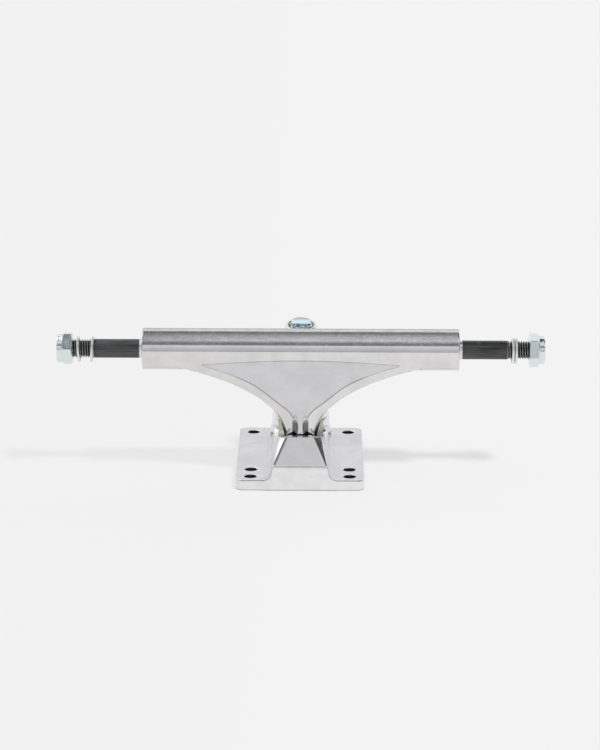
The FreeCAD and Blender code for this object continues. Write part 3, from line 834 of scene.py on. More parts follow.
def colour(tone: Sequence[float], gain: float = 1.0) -> tuple[float, float, float, float]:
    """Opaque colour from its linear red, green and blue, each times a gain."""
    return (tone[0] * gain, tone[1] * gain, tone[2] * gain, 1.0)


def grey(level: float) -> tuple[float, float, float, float]:
    """Opaque neutral colour of a linear level."""
    return colour((level, level, level))


@dataclass(frozen=True)
class Surface:
    """What a finish gives its shader: signals or plain numbers."""

    base: Signal
    roughness: Signal | float
    metallic: float
    normal: Signal


class Finish:
    """A surface finish that makes its own material once."""

    name: str = "finish"

    def surface(self, graph: Graph) -> Surface:
        """Describe the surface with the graph's nodes."""
        raise NotImplementedError

    def material(self) -> bpy.types.Material:
        """The finish's material, made when it is first asked for.

        Returns:
            The material.
        """
        label = "finish_" + self.name
        found = bpy.data.materials.get(label)
        if found is not None:
            return found
        made = bpy.data.materials.new(label)
        made.use_nodes = True
        graph = Graph(made.node_tree)
        surface = self.surface(graph)
        shader = graph.signal("ShaderNodeBsdfPrincipled", inputs={
            "Base Color": surface.base, "Roughness": surface.roughness, "Metallic": surface.metallic,
            "Normal": surface.normal})
        graph.node("ShaderNodeOutputMaterial", inputs={"Surface": shader})
        return made

    def dress(self, piece: bpy.types.Object) -> None:
        """Give a piece this finish alone."""
        piece.data.materials.clear()
        piece.data.materials.append(self.material())


@dataclass(frozen=True)
class WearAndShade:
    """What the places of one casting change in its skin: painted shade in its colour, and its roughness and relief."""

    layers: Sequence[tuple[Signal, object]]
    roughness: Signal
    peel_gain: Signal | float = 1.0


@dataclass(frozen=True)
class CastAlloy(Finish):
    """Tumbled cast aluminium: shine with fine orange peel, faint clouds and scuffs."""

    name: str = "cast_alloy"
    tone: Triple = (0.835, 0.83, 0.838)
    roughness: float = 0.07
    peel_height: float = 0.000016

    def surface(self, graph: Graph) -> Surface:
        """Describe the surface with the graph's nodes.

        Args:
            graph: Graph of the material.

        Returns:
            The surface.
        """
        place = graph.place()
        grit = graph.noise(place, 3200.0, 2.0, 0.6)
        cloud = graph.noise(place, 120.0, 4.0, 0.6)
        scuffs = graph.noise(graph.stretched(place, (1.0, 6.0, 6.0)), 260.0, 4.0, 0.65).step_up(0.60, 0.74)
        wear_and_shade = self.wear_and_shade(graph, place, grit)
        base = graph.mixed(cloud.step_up(0.35, 0.65), colour(self.tone, 0.93), colour(self.tone, 1.02))
        for share, tone in wear_and_shade.layers:
            base = graph.mixed(share, base, tone)
        shine = self.roughness + 0.04 * cloud.step_up(0.3, 0.7) + 0.07 * scuffs + 0.03 * grit
        peel = graph.noise(place, 350.0, 2.0) * wear_and_shade.peel_gain
        return Surface(base, shine + wear_and_shade.roughness, 1.0, graph.bump(0.5, self.peel_height, peel))

    def wear_and_shade(self, graph: Graph, place: Signal, grit: Signal) -> WearAndShade:
        """Say what the casting's own places change in this skin, painted shade included."""
        raise NotImplementedError


@dataclass(frozen=True)
class HangerAlloy(CastAlloy):
    """Skin of the hanger: grainy on top of the tube, with painted shade greying the tube's top, darkening the stem's
    grooves and lining the crowned face.
    """

    top_shade_tone: Triple = (0.30, 0.31, 0.325)
    top_low: float = 0.0545
    top_high: float = 0.0562

    def wear_and_shade(self, graph: Graph, place: Signal, grit: Signal) -> WearAndShade:
        """Say what the hanger's places change in the skin: painted shade, and rougher specks on the tube's top.

        Args:
            graph: Graph of the material.
            place: Place of the surface.
            grit: Fine noise of the skin. Not used.

        Returns:
            The changes.
        """
        across, along, height = graph.parts_of(place)
        foot, inwards = LAYOUT.face_foot, LAYOUT.face_in
        depth = (along - foot[1] * MM) * float(inwards[1]) + (height - foot[2] * MM) * float(inwards[2])
        # Painted shade: the top of the tube is darkened grey, with grainy specks and clouds in it.
        upper = height.step_up(self.top_low, self.top_high)
        specks = graph.noise(place, 1500.0, 2.0, 0.6).step_up(0.50, 0.62)
        mottle = graph.noise(graph.stretched(place, (0.5, 1.0, 1.0)), 520.0, 4.0, 0.7).step_up(0.38, 0.62)
        layers = [((1.0 - specks) * upper * 0.30, colour(self.top_shade_tone)),
                  (mottle * upper * 0.26, colour(self.top_shade_tone)),
                  # Painted shade: near-black in the stem's grooves and on the sides of its neck.
                  (self.groove_shade_share(across, height, depth), colour((0.06, 0.065, 0.075))),
                  # Painted shade: a thin dark line round the crowned face.
                  (self.face_shade_line(graph, height, depth) * 0.45, colour((0.12, 0.12, 0.13)))]
        return WearAndShade(layers, specks * upper * 0.12)

    @staticmethod
    def face_shade_line(graph: Graph, height: Signal, depth: Signal) -> Signal:
        """Share of the thin painted shade line that runs round the crowned face below the tube.

        Args:
            graph: Graph of the material.
            height: Height of the surface.
            depth: Its depth behind the face's plane.

        Returns:
            The share.
        """
        rim = graph.signal("ShaderNodeAttribute", {"attribute_name": RIM_MARK}, output="Fac")
        line = rim.size().step_down(0.00012, 0.00036) * depth.step_down(0.0005, 0.0009)
        return line * height.step_up(0.0235, 0.0255) * height.step_down(0.0450, 0.0465)

    @staticmethod
    def groove_shade_share(across: Signal, height: Signal, depth: Signal) -> Signal:
        """Share of painted shade: the two grooves beside the ridge and the sides of the stem's neck.

        Args:
            across: Place of the surface along X.
            height: Height of the surface.
            depth: Its depth behind the face's plane.

        Returns:
            The share.
        """
        reach = across.size()
        groove = reach.step_up(0.00095, 0.00125) * reach.step_down(0.0031, 0.0036)
        groove = groove * height.step_down(0.0238, 0.0272) * depth.step_up(0.0001, 0.0007)
        side = depth.step_up(0.0034, 0.0040) * reach.step_up(0.0046, 0.0050) * height.step_down(0.0255, 0.0290)
        return (groove * 0.85).larger(side * 0.9)


@dataclass(frozen=True)
class BaseplateAlloy(CastAlloy):
    """Skin of the baseplate: matt in the trough, with painted shade tinting the trough olive, darkening the drilled
    holes and lining a few fine edges and its foot.
    """

    name: str = "cast_alloy_base"
    tone: Triple = (0.95, 0.948, 0.97)
    roughness: float = 0.165
    trough_shade_tone: Triple = (0.80, 0.815, 0.69)
    trough_roughness: float = 0.55
    trough_half: float = 0.0097
    trough_front: float = -0.028
    trough_rear: float = 0.019
    trough_floor: float = 0.006
    soft: float = 0.00012
    facet_half: float = 0.01137
    facet_lean: float = 0.4711
    shade_line_tone: Triple = (0.10, 0.10, 0.11)

    def wear_and_shade(self, graph: Graph, place: Signal, grit: Signal) -> WearAndShade:
        """Say what the baseplate's places change in the skin.

        Args:
            graph: Graph of the material.
            place: Place of the surface.
            grit: Fine noise of the skin.

        Returns:
            The changes.
        """
        across, along, height = graph.parts_of(place)
        # Painted shade: the trough between tower and boss is tinted olive grey; its skin is also matt and bumpier.
        trough_mask = self.trough_share(across, along, height)
        trough_shade_skin = graph.mixed(grit.step_up(0.3, 0.7), colour(self.trough_shade_tone, 0.82), colour(self.trough_shade_tone, 1.15))
        # Painted shadow: near-black on the trough beside the stem's foot, widening upwards.
        shade = (across.size() - height * 0.32).step_down(0.0037, 0.0041)
        layers = [(trough_mask, trough_shade_skin),
                  (trough_mask * shade * 0.97, colour((0.012, 0.012, 0.013))),
                  # Painted shade: near-black on the walls of the six deck holes.
                  (self.bore_shade_share(across, along, height) * 0.93, colour((0.02, 0.02, 0.024))),
                  # Painted contact shadow: a dark band along the plate's foot.
                  (height.step_down(0.00025, 0.0006) * 0.5, colour(self.shade_line_tone)),
                  # Painted shade: a thin dark line along the tower's corner facets.
                  (self.facet_shade_line(across, along, height) * 0.75, colour((0.03, 0.03, 0.035))),
                  # Painted shade: a thin dark line down the front wall's rounded sides.
                  (self.wall_shade_line(along, height) * 0.5, colour(self.shade_line_tone))]
        return WearAndShade(layers, trough_mask * (self.trough_roughness - self.roughness), 1.0 + trough_mask * 2.0)

    def trough_share(self, across: Signal, along: Signal, height: Signal) -> Signal:
        """Share of the trough's matt skin and painted olive shade: 1 in the trough between the tower and the boss,
        else 0.

        Args:
            across: Place of the surface along X.
            along: Place of the surface along Y.
            height: Height of the surface.

        Returns:
            The share.
        """
        inside = across.size().step_down(self.trough_half - self.soft, self.trough_half + self.soft)
        inside = inside * along.step_up(self.trough_front - self.soft, self.trough_front + self.soft)
        inside = inside * along.step_down(self.trough_rear - self.soft, self.trough_rear + self.soft)
        return inside * height.step_up(self.trough_floor - self.soft, self.trough_floor + self.soft)

    def facet_shade_line(self, across: Signal, along: Signal, height: Signal) -> Signal:
        """Share of the thin painted shade line between the tower's slope and its corner facets.

        Args:
            across: Place of the surface along X.
            along: Place of the surface along Y.
            height: Height of the surface.

        Returns:
            The share.
        """
        edge = self.facet_half - (along - LAYOUT.plate_front * MM) * self.facet_lean
        line = (across.size() - edge).size().step_down(0.00026, 0.00054)
        return line * height.step_up(0.0106, 0.0112) * along.step_down(-0.0312, -0.0309)

    @staticmethod
    def wall_shade_line(along: Signal, height: Signal) -> Signal:
        """Share of the thin painted shade line down the rounded sides of the front wall."""
        line = along.step_up(-0.04226, -0.04218) * along.step_down(-0.04202, -0.04190)
        return line * height.step_up(0.0038, 0.0042) * height.step_down(0.0098, 0.0103)

    @staticmethod
    def bore_shade_share(across: Signal, along: Signal, height: Signal) -> Signal:
        """Share of painted shade on the drilled walls: 1 inside the six deck holes, else 0.

        Args:
            across: Place of the surface along X.
            along: Place of the surface along Y.
            height: Height of the surface.

        Returns:
            The share.
        """
        beside = across.size() - LAYOUT.hole_across / 2 * MM
        found: Signal | float = 0.0
        for row in LAYOUT.hole_rows:
            past = along - row * MM
            spread = beside * beside + past * past
            found = spread.step_down(0.0025 ** 2, 0.0027 ** 2) + found
        return found * height.step_down(0.0042, 0.0045)


@dataclass(frozen=True)
class ZincPlate(Finish):
    """Bright zinc plate with a pale blue cast."""

    name: str = "zinc_plate"
    tone: Triple = (0.84, 0.91, 0.95)
    roughness: float = 0.07

    def surface(self, graph: Graph) -> Surface:
        """Describe the surface with the graph's nodes.

        Args:
            graph: Graph of the material.

        Returns:
            The surface.
        """
        place = graph.place()
        cloud = graph.noise(place, 420.0, 3.0, 0.6)
        tint = graph.noise(place, 160.0, 2.0).step_up(0.4, 0.62)
        greener = (self.tone[0] * 0.97, self.tone[1] * 1.01, self.tone[2] * 0.95)
        base = graph.mixed(tint, colour(self.tone), colour(greener))
        roughness = self.roughness + 0.09 * cloud.step_up(0.42, 0.7)
        return Surface(base, roughness, 1.0, graph.bump(0.35, 0.00002, graph.noise(place, 1500.0, 2.0)))


@dataclass(frozen=True)
class TippedZinc(ZincPlate):
    """Zinc plate of the kingpin, with painted shade darkening the rim of its tip."""

    rim_from: float = 0.0237
    rim_radius: float = 0.0040
    rim_soft: float = 0.0002

    def surface(self, graph: Graph) -> Surface:
        """Describe the surface with the graph's nodes.

        Args:
            graph: Graph of the material.

        Returns:
            The surface.
        """
        plated = super().surface(graph)
        place = graph.place()
        across, along, height = graph.parts_of(place)
        up, side = LAYOUT.kingpin_up, LAYOUT.kingpin_side
        past, above = along - LAYOUT.ring_centre[1] * MM, height - LAYOUT.ring_centre[2] * MM
        rise = past * float(up[1]) + above * float(up[2])
        reach = across.hypot(past * float(side[1]) + above * float(side[2]))
        rim = reach.step_up(self.rim_radius, self.rim_radius + self.rim_soft)
        rim = rim * rise.step_up(self.rim_from, self.rim_from + self.rim_soft)
        broken = graph.noise(place, 900.0, 2.0, 0.6).step_up(0.40, 0.56)
        # Painted shade: a broken dark line round the rim of the kingpin's tip.
        base = graph.mixed(rim * broken * 0.8, plated.base, colour((0.06, 0.07, 0.09)))
        return Surface(base, plated.roughness, plated.metallic, plated.normal)


@dataclass(frozen=True)
class BlackAxle(Finish):
    """Black oxide on drawn steel, with streaks along it and a bare band next to the tube."""

    name: str = "black_axle"
    tone: Triple = (0.098, 0.102, 0.104)
    worn_tone: Triple = (0.30, 0.30, 0.29)
    crest_wear_and_highlight_tone: Triple = (0.62, 0.62, 0.60)
    bare_tone: Triple = (0.86, 0.86, 0.85)
    bare_to: float = 0.06800
    bare_soft: float = 0.00015
    roughness: float = 0.33

    def surface(self, graph: Graph) -> Surface:
        """Describe the surface with the graph's nodes.

        Args:
            graph: Graph of the material.

        Returns:
            The surface.
        """
        place = graph.place()
        across, along, height = graph.parts_of(place)
        streaks = graph.noise(graph.stretched(place, (0.05, 1.0, 1.0)), 1400.0, 4.0, 0.6)
        wear_and_shade = graph.noise(graph.stretched(place, (0.3, 1.0, 1.0)), 900.0, 4.0, 0.7).step_up(0.57, 0.68)
        worn = wear_and_shade * height.step_up(0.0535, 0.0556)
        ragged = across.size() + (graph.noise(place, 700.0) - 0.5) * 0.0006
        bare = ragged.step_down(self.bare_to - self.bare_soft, self.bare_to + self.bare_soft)
        crest = self.crest_share(across, along, height)
        base = graph.mixed(streaks.step_up(0.35, 0.7), colour(self.tone, 0.7), colour(self.tone, 1.5))
        # Lighter thread crests: partly worn bare steel, partly a painted highlight.
        layers = ((worn * 0.6, self.worn_tone), (crest * 0.8, self.crest_wear_and_highlight_tone), (bare, self.bare_tone))
        for share, tone in layers:
            base = graph.mixed(share, base, colour(tone))
        roughness = self.roughness + 0.14 * streaks.step_up(0.3, 0.7) - 0.12 * bare - 0.15 * crest
        return Surface(base, roughness, 1.0, graph.bump(0.35, 0.00002, streaks))

    @staticmethod
    def crest_share(across: Signal, along: Signal, height: Signal) -> Signal:
        """Share of bright crest on the threads, partly worn bare and partly a painted highlight: 1 at their outer
        radius, 0 at their root.

        Args:
            across: Place of the surface along X.
            along: Place of the surface along Y.
            height: Height of the surface.

        Returns:
            The share.
        """
        centre = LAYOUT.axle_centre
        reach = (along - centre[1] * MM).hypot(height - centre[2] * MM)
        return reach.step_up(0.00362, 0.00388) * across.size().step_up(0.0868, 0.0874)


@dataclass(frozen=True)
class Urethane(Finish):
    """Poured urethane, satin, with faint mould haze."""

    name: str = "urethane"
    tone: Triple = (0.56, 0.52, 0.40)

    def surface(self, graph: Graph) -> Surface:
        """Describe the surface with the graph's nodes.

        Args:
            graph: Graph of the material.

        Returns:
            The surface.
        """
        place = graph.place()
        cloud = graph.noise(place, 180.0, 4.0, 0.6)
        base = graph.mixed(cloud, colour(self.tone, 0.9), colour(self.tone, 1.08))
        normal = graph.bump(0.3, 0.00003, graph.noise(place, 1200.0, 2.0))
        return Surface(base, 0.42 + 0.15 * cloud, 0.0, normal)


@dataclass(frozen=True)
class Moulded(Finish):
    """Moulded plastic with a fine matt grain."""

    name: str = "moulded"
    tone: Triple = (0.03, 0.03, 0.03)
    roughness: float = 0.45

    def surface(self, graph: Graph) -> Surface:
        """Describe the surface with the graph's nodes.

        Args:
            graph: Graph of the material.

        Returns:
            The surface.
        """
        grain = graph.noise(graph.place(), 2200.0, 2.0)
        base = graph.mixed(grain, colour(self.tone, 0.85), colour(self.tone, 1.15))
        return Surface(base, self.roughness + 0.1 * grain, 0.0, graph.bump(0.3, 0.00002, grain))


class Slot(Enum):
    """Material slots of the record, each with the finish that stands for it."""

    CAST = ("cast_alloy", HangerAlloy())
    CAST_BASE = ("cast_alloy", BaseplateAlloy())
    CUP = ("cup_plastic", Moulded("cup_plastic", (0.022, 0.022, 0.024)))
    ZINC = ("zinc", ZincPlate())
    RING = ("ring_zinc", ZincPlate("ring_zinc", (0.93, 0.96, 0.96), 0.34))
    KINGPIN = ("zinc", TippedZinc("zinc_kingpin", (0.72, 0.85, 0.98), 0.10))
    RUBBER = ("urethane", Urethane())
    BLACK = ("black_steel", BlackAxle())
    NYLON = ("nylon", Moulded("nylon", (0.33, 0.34, 0.19), 0.4))

    @property
    def finish(self) -> Finish:
        """The slot's finish."""
        return self.value[1]

    def give(self, piece: bpy.types.Object, body: str, node: str) -> None:
        """Dress a piece, tie it to its body and let it stand for its node.

        Args:
            piece: The piece.
            body: Name of the body that carries it.
            node: Name of the node that it stands for.
        """
        self.finish.dress(piece)
        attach(piece, body)
        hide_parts(node)
        LOG.info("%s on %s for %s", piece.name, body, node)


# Sub-assemblies

@dataclass
class Hanger:
    """Cast hanger: tube, crowned face with its rails, web, ring and stem."""

    tube_radius: float = 8.75
    tube_half: float = 66.675
    tube_edge: float = 0.45
    bore_radius: float = 3.97
    low: Triple = (-66.675, -33.4, 5.76)
    high: Triple = (66.675, 28.4, 60.25)
    crown_radius: float = 550.0
    rail_depth: float = 4.0
    gusset_depth: float = 12.0
    neck_front_half: float = 1.1
    neck_front_rise: float = 0.110
    neck_side_half: float = 5.7
    neck_side_rise: float = 0.048
    ring_radius: float = 13.2
    ring_bore: float = 6.6
    seat_radius: float = 10.9
    web_half: float = 10.5
    web_gap: float = 12.2
    stem_ball: float = 5.6
    stem_neck: float = 5.25
    stem_length: float = 9.5
    flute_radius: float = 1.15
    flute_offset: float = 2.25
    flute_top_offset: float = 2.1
    flute_top: float = 7.0
    flute_depth: float = 2.6
    neck_sink: float = 0.35
    edge: float = 0.35
    wing_gain: float = 0.45
    wing_start: float = 8.0
    wing_reach: float = 6.0
    arm_edge: float = 1.2
    arm_fillet: float = 1.6
    tube_fillet: float = 0.5
    stem_fillet: float = 0.8
    ball_fillet: float = 1.0
    ball_play: float = 0.1
    ring_edge: float = 1.0
    bore_edge: float = 0.25
    ring_bore_edge: float = 0.4
    seat_edge: float = 0.3
    mesher: NetMesher = field(default_factory=NetMesher)
    face_outline: Sequence[tuple[float, float]] = (
        (2.19, 5.41), (2.99, 6.5), (4.3, 8.38), (6.01, 10.09), (8.92, 12.19), (11.7, 14.39), (17.23, 18.66),
        (22.17, 21.56), (32.28, 26.14), (39.8, 29.24))
    wing_outline: Sequence[tuple[float, float]] = (
        (6.9, 4.33), (8.89, 7.89), (12.2, 11.26), (17.21, 15.53), (22.29, 18.44), (28.9, 21.6), (35.91, 24.1),
        (42.92, 26.3), (49.88, 27.69), (57.0, 28.22))

    def __post_init__(self) -> None:
        """Work out the face's height and the tables of its two outlines."""
        self.face_height = float(np.linalg.norm(np.subtract(LAYOUT.face_head, LAYOUT.face_foot)))
        self.inner = self.outline(self.face_outline, self.neck_front_half, self.neck_front_rise)
        self.outer = self.outline(self.wing_outline, self.neck_side_half, self.neck_side_rise)

    @staticmethod
    def on_face(across: float, rise: float, depth: float) -> Array:
        """Point given across the face, up along it and inwards from it."""
        return np.array(LAYOUT.face_foot) + (across, 0, 0) + LAYOUT.face_up * rise + LAYOUT.face_in * depth

    def outline(self, curve: Sequence[tuple[float, float]], neck_half: float,
                neck_rise: float) -> OutlineTable:
        """Table of the distance to one outline of the face's plane.

        Args:
            curve: Points of the swept side, from the neck outwards.
            neck_half: Half width of the neck.
            neck_rise: Where the neck's straight side ends, as a share of the face's height.

        Returns:
            The table.
        """
        inside, foot, head = -9.0, -self.neck_sink, self.face_height * 1.07
        corners: list[Sequence[float]] = [(inside, foot), (neck_half, foot)]
        corners += swept_curve([(neck_half, neck_rise * self.face_height), *curve])
        corners += [(curve[-1][0], head), (inside, head)]
        return OutlineTable(corners, (-1.0, -12.0), (75.0, 45.0), 0.1)

    def gusset(self) -> Form:
        """Web below the tube: crowned face, sloping rails, widest behind them, narrower at the back.

        Returns:
            The form.
        """
        foot = np.array(LAYOUT.face_foot, np.float32)
        up, inwards = LAYOUT.face_up.astype(np.float32), LAYOUT.face_in.astype(np.float32)

        def sides(points: Array) -> Array:
            """Distance to the swept sides.

            Args:
                points: Points as an array of three columns.

            Returns:
                One distance for each point.
            """
            offset = points - foot
            rise, depth, across = offset @ up, offset @ inwards, np.abs(points[:, 0])
            share = np.where(depth < self.rail_depth, depth / self.rail_depth,
                             1 - (depth - self.rail_depth) / (self.gusset_depth - self.rail_depth))
            share = np.clip(share, 0, 1)
            gain = np.clip((rise - self.wing_start) / self.wing_reach, 0, 1) * self.wing_gain
            near, far = self.inner(across, rise), self.outer(across, rise) - gain
            return (near + (far - near) * share) * 0.9

        def crown(points: Array) -> Array:
            """Distance to the slightly round front.

            Args:
                points: Points as an array of three columns.

            Returns:
                One distance for each point.
            """
            depth = (points - foot) @ inwards
            return np.hypot(points[:, 0], self.crown_radius - depth) - self.crown_radius
        back = plane(self.on_face(0, 0, self.gusset_depth), LAYOUT.face_in)
        return Form(sides).common(Form(crown), self.edge).common(back, self.arm_edge)

    def web(self) -> Form:
        """Arm from the gusset and the stem to the ring.

        Returns:
            The form.
        """
        side, axle = LAYOUT.kingpin_side, np.array(LAYOUT.axle_centre)
        half_ring = LAYOUT.ring_thickness / 2
        neck = np.array(LAYOUT.pivot) + LAYOUT.stem_up * self.stem_length
        stem_front = np.array([0.0, -LAYOUT.stem_up[2], LAYOUT.stem_up[1]])
        corners = [
            axle, axle + (0, self.tube_radius * 0.85, -self.tube_radius * 0.35),
            LAYOUT.on_kingpin(LAYOUT.ring_floor + LAYOUT.upper_bushing_height) - side * self.web_gap,
            LAYOUT.on_kingpin(half_ring) - side * self.web_gap,
            LAYOUT.on_kingpin(0) - side * self.ring_bore,
            LAYOUT.on_kingpin(-half_ring) - side * self.web_gap,
            neck - stem_front * self.stem_neck, neck,
            self.on_face(0, 0, self.rail_depth), self.on_face(0, self.face_height, self.rail_depth)]
        arm = side_prism([c[1:] for c in corners], self.web_half, 2.0)
        foot, rise_up = np.array(LAYOUT.face_foot, np.float32), LAYOUT.face_up.astype(np.float32)
        shadow = Form(lambda p: self.outer(np.abs(p[:, 0]), (p - foot) @ rise_up))
        return arm.common(shadow, self.arm_edge)

    def form(self) -> Form:
        """The whole casting.

        Returns:
            The form.
        """
        axle, up = np.array(LAYOUT.axle_centre), LAYOUT.kingpin_up
        tube = rod(axle - (self.tube_half, 0, 0), (1, 0, 0), self.tube_radius, self.tube_half * 2,
                   self.tube_edge)
        half_ring = LAYOUT.ring_thickness / 2
        ring = rod(LAYOUT.on_kingpin(-half_ring), up, self.ring_radius, LAYOUT.ring_thickness,
                   self.ring_edge)
        pivot, stem_up = np.array(LAYOUT.pivot), LAYOUT.stem_up
        stem = ball(pivot, self.stem_ball - self.ball_play).joined(
            rod(pivot, stem_up, self.stem_neck, self.stem_length), self.ball_fillet)
        solid = tube.joined(self.gusset(), self.tube_fillet).joined(self.web(), self.arm_fillet)
        solid = solid.joined(ring, self.arm_fillet).joined(stem, self.stem_fillet)
        for sign in (-1, 1):
            foot = self.on_face(sign * self.flute_offset, -self.neck_sink,
                                self.flute_depth - self.flute_radius)
            end = self.on_face(sign * self.flute_top_offset, self.flute_top, -self.flute_radius)
            start = foot - unit(end - foot)
            length = float(np.linalg.norm(end - start))
            solid = solid.cut(rod(start, end - start, self.flute_radius, length), self.bore_edge)
        bore = rod(axle - (self.tube_half + 1, 0, 0), (1, 0, 0), self.bore_radius, self.tube_half * 2 + 2)
        ring_bore = rod(LAYOUT.on_kingpin(-half_ring - 1), up, self.ring_bore, LAYOUT.ring_thickness + 2)
        solid = solid.cut(bore, self.bore_edge).cut(ring_bore, self.ring_bore_edge)
        for sign in (-1, 1):
            seat = rod(LAYOUT.on_kingpin(sign * LAYOUT.ring_floor), up * sign, self.seat_radius, 3.0)
            solid = solid.cut(seat, self.seat_edge)
        return solid

    def mark_rim(self, mesh: bpy.types.Mesh) -> None:
        """Store each vertex's distance from the face's outline, for the finish to read.

        Args:
            mesh: Mesh of the casting.
        """
        places = np.empty(len(mesh.vertices) * 3)
        mesh.vertices.foreach_get("co", places)
        offset = places.reshape(-1, 3) / MM - np.array(LAYOUT.face_foot)
        marks = mesh.attributes.new(RIM_MARK, "FLOAT", "POINT")
        marks.data.foreach_set("value", self.inner(np.abs(offset[:, 0]), offset @ LAYOUT.face_up) * MM)

    def build(self) -> None:
        """Mesh, dress and tie the hanger."""
        piece = self.mesher.mesh("hanger_casting", self.form(), self.low, self.high)
        self.mark_rim(piece.data)
        Slot.CAST.give(piece, "hanger", "hanger")


@dataclass
class Baseplate:
    """Cast baseplate: plate, pivot tower, spine, kingpin boss and its holes."""

    half_width: float = 26.7475
    front: float = LAYOUT.plate_front
    rear: float = 33.6975
    corner: float = 3.5
    wall_height: float = 10.25
    half_foot: float = 12.8
    half_head: float = 9.0
    tower_height: float = 19.8
    flat_half: float = 6.0
    facet_half: float = 8.5
    slope_run: float = 11.4
    spine_height: float = 9.6
    brow_edge: float = 1.8
    spine_fillet: float = 2.6
    rim_reach: float = 3.0
    socket_radius: float = 7.25
    boss_radius: float = 12.1
    boss_draft: float = 3.5
    boss_fillet: float = 3.4
    kingpin_bore: float = 4.81
    hole_radius: float = 2.55
    head_across: float = 14.29
    head_room: float = 0.15
    top_edge: float = 0.55
    foot_edge: float = 0.3
    draft_edge: float = 0.45
    facet_edge: float = 0.35
    boss_edge: float = 0.8
    bore_edge: float = 0.5
    pocket_edge: float = 0.25
    mesher: NetMesher = field(default_factory=NetMesher)

    def rim_back(self, height: float) -> float:
        """Where the plane of the cup's rim is along Y.

        Args:
            height: Height of the place.

        Returns:
            Its Y.
        """
        up = LAYOUT.stem_up
        rim = np.array(LAYOUT.pivot) + up * self.rim_reach
        return float(rim[1] - (height - rim[2]) * up[2] / up[1])

    def slab(self) -> Form:
        """Deck plate with rounded corners and edges.

        Returns:
            The form.
        """
        middle = (self.front + self.rear) / 2
        half_y = (self.rear - self.front) / 2

        def sides(points: Array) -> Array:
            """Distance to the plate's sides and round corners.

            Args:
                points: Points as an array of three columns.

            Returns:
                One distance for each point.
            """
            across = np.abs(points[:, 0]) - self.half_width + self.corner
            along = np.abs(points[:, 1] - middle) - half_y + self.corner
            outside = np.hypot(np.maximum(across, 0), np.maximum(along, 0))
            return outside + np.minimum(np.maximum(across, along), 0) - self.corner
        top = plane((0, 0, LAYOUT.plate_thickness), (0, 0, 1))
        bottom = plane((0, 0, 0), (0, 0, -1))
        return Form(sides).common(top, self.top_edge).common(bottom, self.foot_edge)

    def spine(self) -> Form:
        """Pivot tower and spine with drafted sides and corner facets.

        Returns:
            The form.
        """
        low, high = LAYOUT.plate_thickness, self.tower_height
        crest = self.front + self.slope_run
        boss_line = float(LAYOUT.on_kingpin(-LAYOUT.boss_seat)[1])
        spine, sunk = self.spine_height, 1.0
        corners = [(self.front, sunk, 0.0), (self.front, self.wall_height, self.brow_edge),
                   (crest, high, self.foot_edge), (self.rim_back(high), high, 0.0), (self.rim_back(spine), spine, 0.0),
                   (boss_line, spine, 0.0), (boss_line, sunk, 0.0)]
        solid = side_prism(rounded(corners), self.half_width, self.foot_edge)
        draft = (self.half_foot - self.half_head) / (high - low)
        solid = solid.common(self.mirrored((self.half_foot, 0, low), (1, 0, draft)), self.draft_edge)
        wall_half = self.half_foot - draft * (self.wall_height - low)
        start = np.array([wall_half, self.front, self.wall_height])
        inner = np.array([self.flat_half, crest, high])
        outer = np.array([self.facet_half, self.rim_back(high), high])
        return solid.common(self.mirrored(start, np.cross(outer - start, inner - start)), self.facet_edge)

    @staticmethod
    def mirrored(point: Sequence[float], outwards: Sequence[float]) -> Form:
        """Half space behind a plane of the right side and behind its mirror image."""
        side = plane(point, np.asarray(outwards, float) * (1 if outwards[0] > 0 else -1))
        return Form(lambda p: side.distance(np.column_stack([np.abs(p[:, 0]), p[:, 1], p[:, 2]])))

    def boss(self) -> Form:
        """Drafted boss round the kingpin.

        Returns:
            The form.
        """
        seat, foot = LAYOUT.on_kingpin(-LAYOUT.boss_seat), 0.5
        reach = (seat[2] - foot) / math.cos(math.radians(LAYOUT.kingpin_lean)) + 3.0
        draft = math.tan(math.radians(self.boss_draft))
        cone = rod(seat, -LAYOUT.kingpin_up, self.boss_radius, reach, self.boss_edge, draft)
        return cone.common(plane((0, 0, foot), (0, 0, -1)), 0.0)

    def form(self) -> Form:
        """The whole casting.

        Returns:
            The form.
        """
        solid = self.slab().joined(self.spine(), self.spine_fillet)
        solid = solid.joined(self.boss(), self.boss_fillet)
        solid = solid.common(plane((0, self.rear, 0), (0, 1, 0)), self.foot_edge)
        solid = solid.common(plane((0, self.front, 0), (0, -1, 0)), self.foot_edge)
        pivot, up = np.array(LAYOUT.pivot), LAYOUT.kingpin_up
        socket = ball(pivot, self.socket_radius).joined(
            rod(pivot, LAYOUT.stem_up, self.socket_radius, 42.0), 0.0)
        solid = solid.cut(socket, self.facet_edge)
        bore = rod(LAYOUT.on_kingpin(-LAYOUT.boss_seat + 1), -up, self.kingpin_bore, 40.0)
        solid = solid.cut(bore, self.bore_edge).cut(self.head_pocket(), self.pocket_edge)
        for along in LAYOUT.hole_rows:
            for across in (-LAYOUT.hole_across / 2, LAYOUT.hole_across / 2):
                drill = rod((across, along, -1), (0, 0, 1), self.hole_radius, 8.0)
                solid = solid.cut(drill, self.foot_edge)
        return solid

    def head_pocket(self) -> Form:
        """Hexagon pocket of the kingpin's head, open below.

        Returns:
            The form.
        """
        top = LAYOUT.on_kingpin(-LAYOUT.head_depth)
        tilt = Vector((0, 0, 1)).rotation_difference(Vector(-LAYOUT.kingpin_up)).to_matrix()
        solid = plane(top, LAYOUT.kingpin_up)
        for step in range(6):
            angle = math.radians(30 + 60 * step)
            normal = np.array(tilt @ Vector((math.cos(angle), math.sin(angle), 0)))
            solid = solid.common(plane(top + normal * (self.head_across / 2 + self.head_room), normal), 0.0)
        return solid

    def build(self) -> None:
        """Mesh, dress and tie the baseplate."""
        piece = self.mesher.mesh("baseplate_casting", self.form(), (-self.half_width, self.front, 0.0),
                                 (self.half_width, self.rear, self.tower_height))
        Slot.CAST_BASE.give(piece, "base", "baseplate")


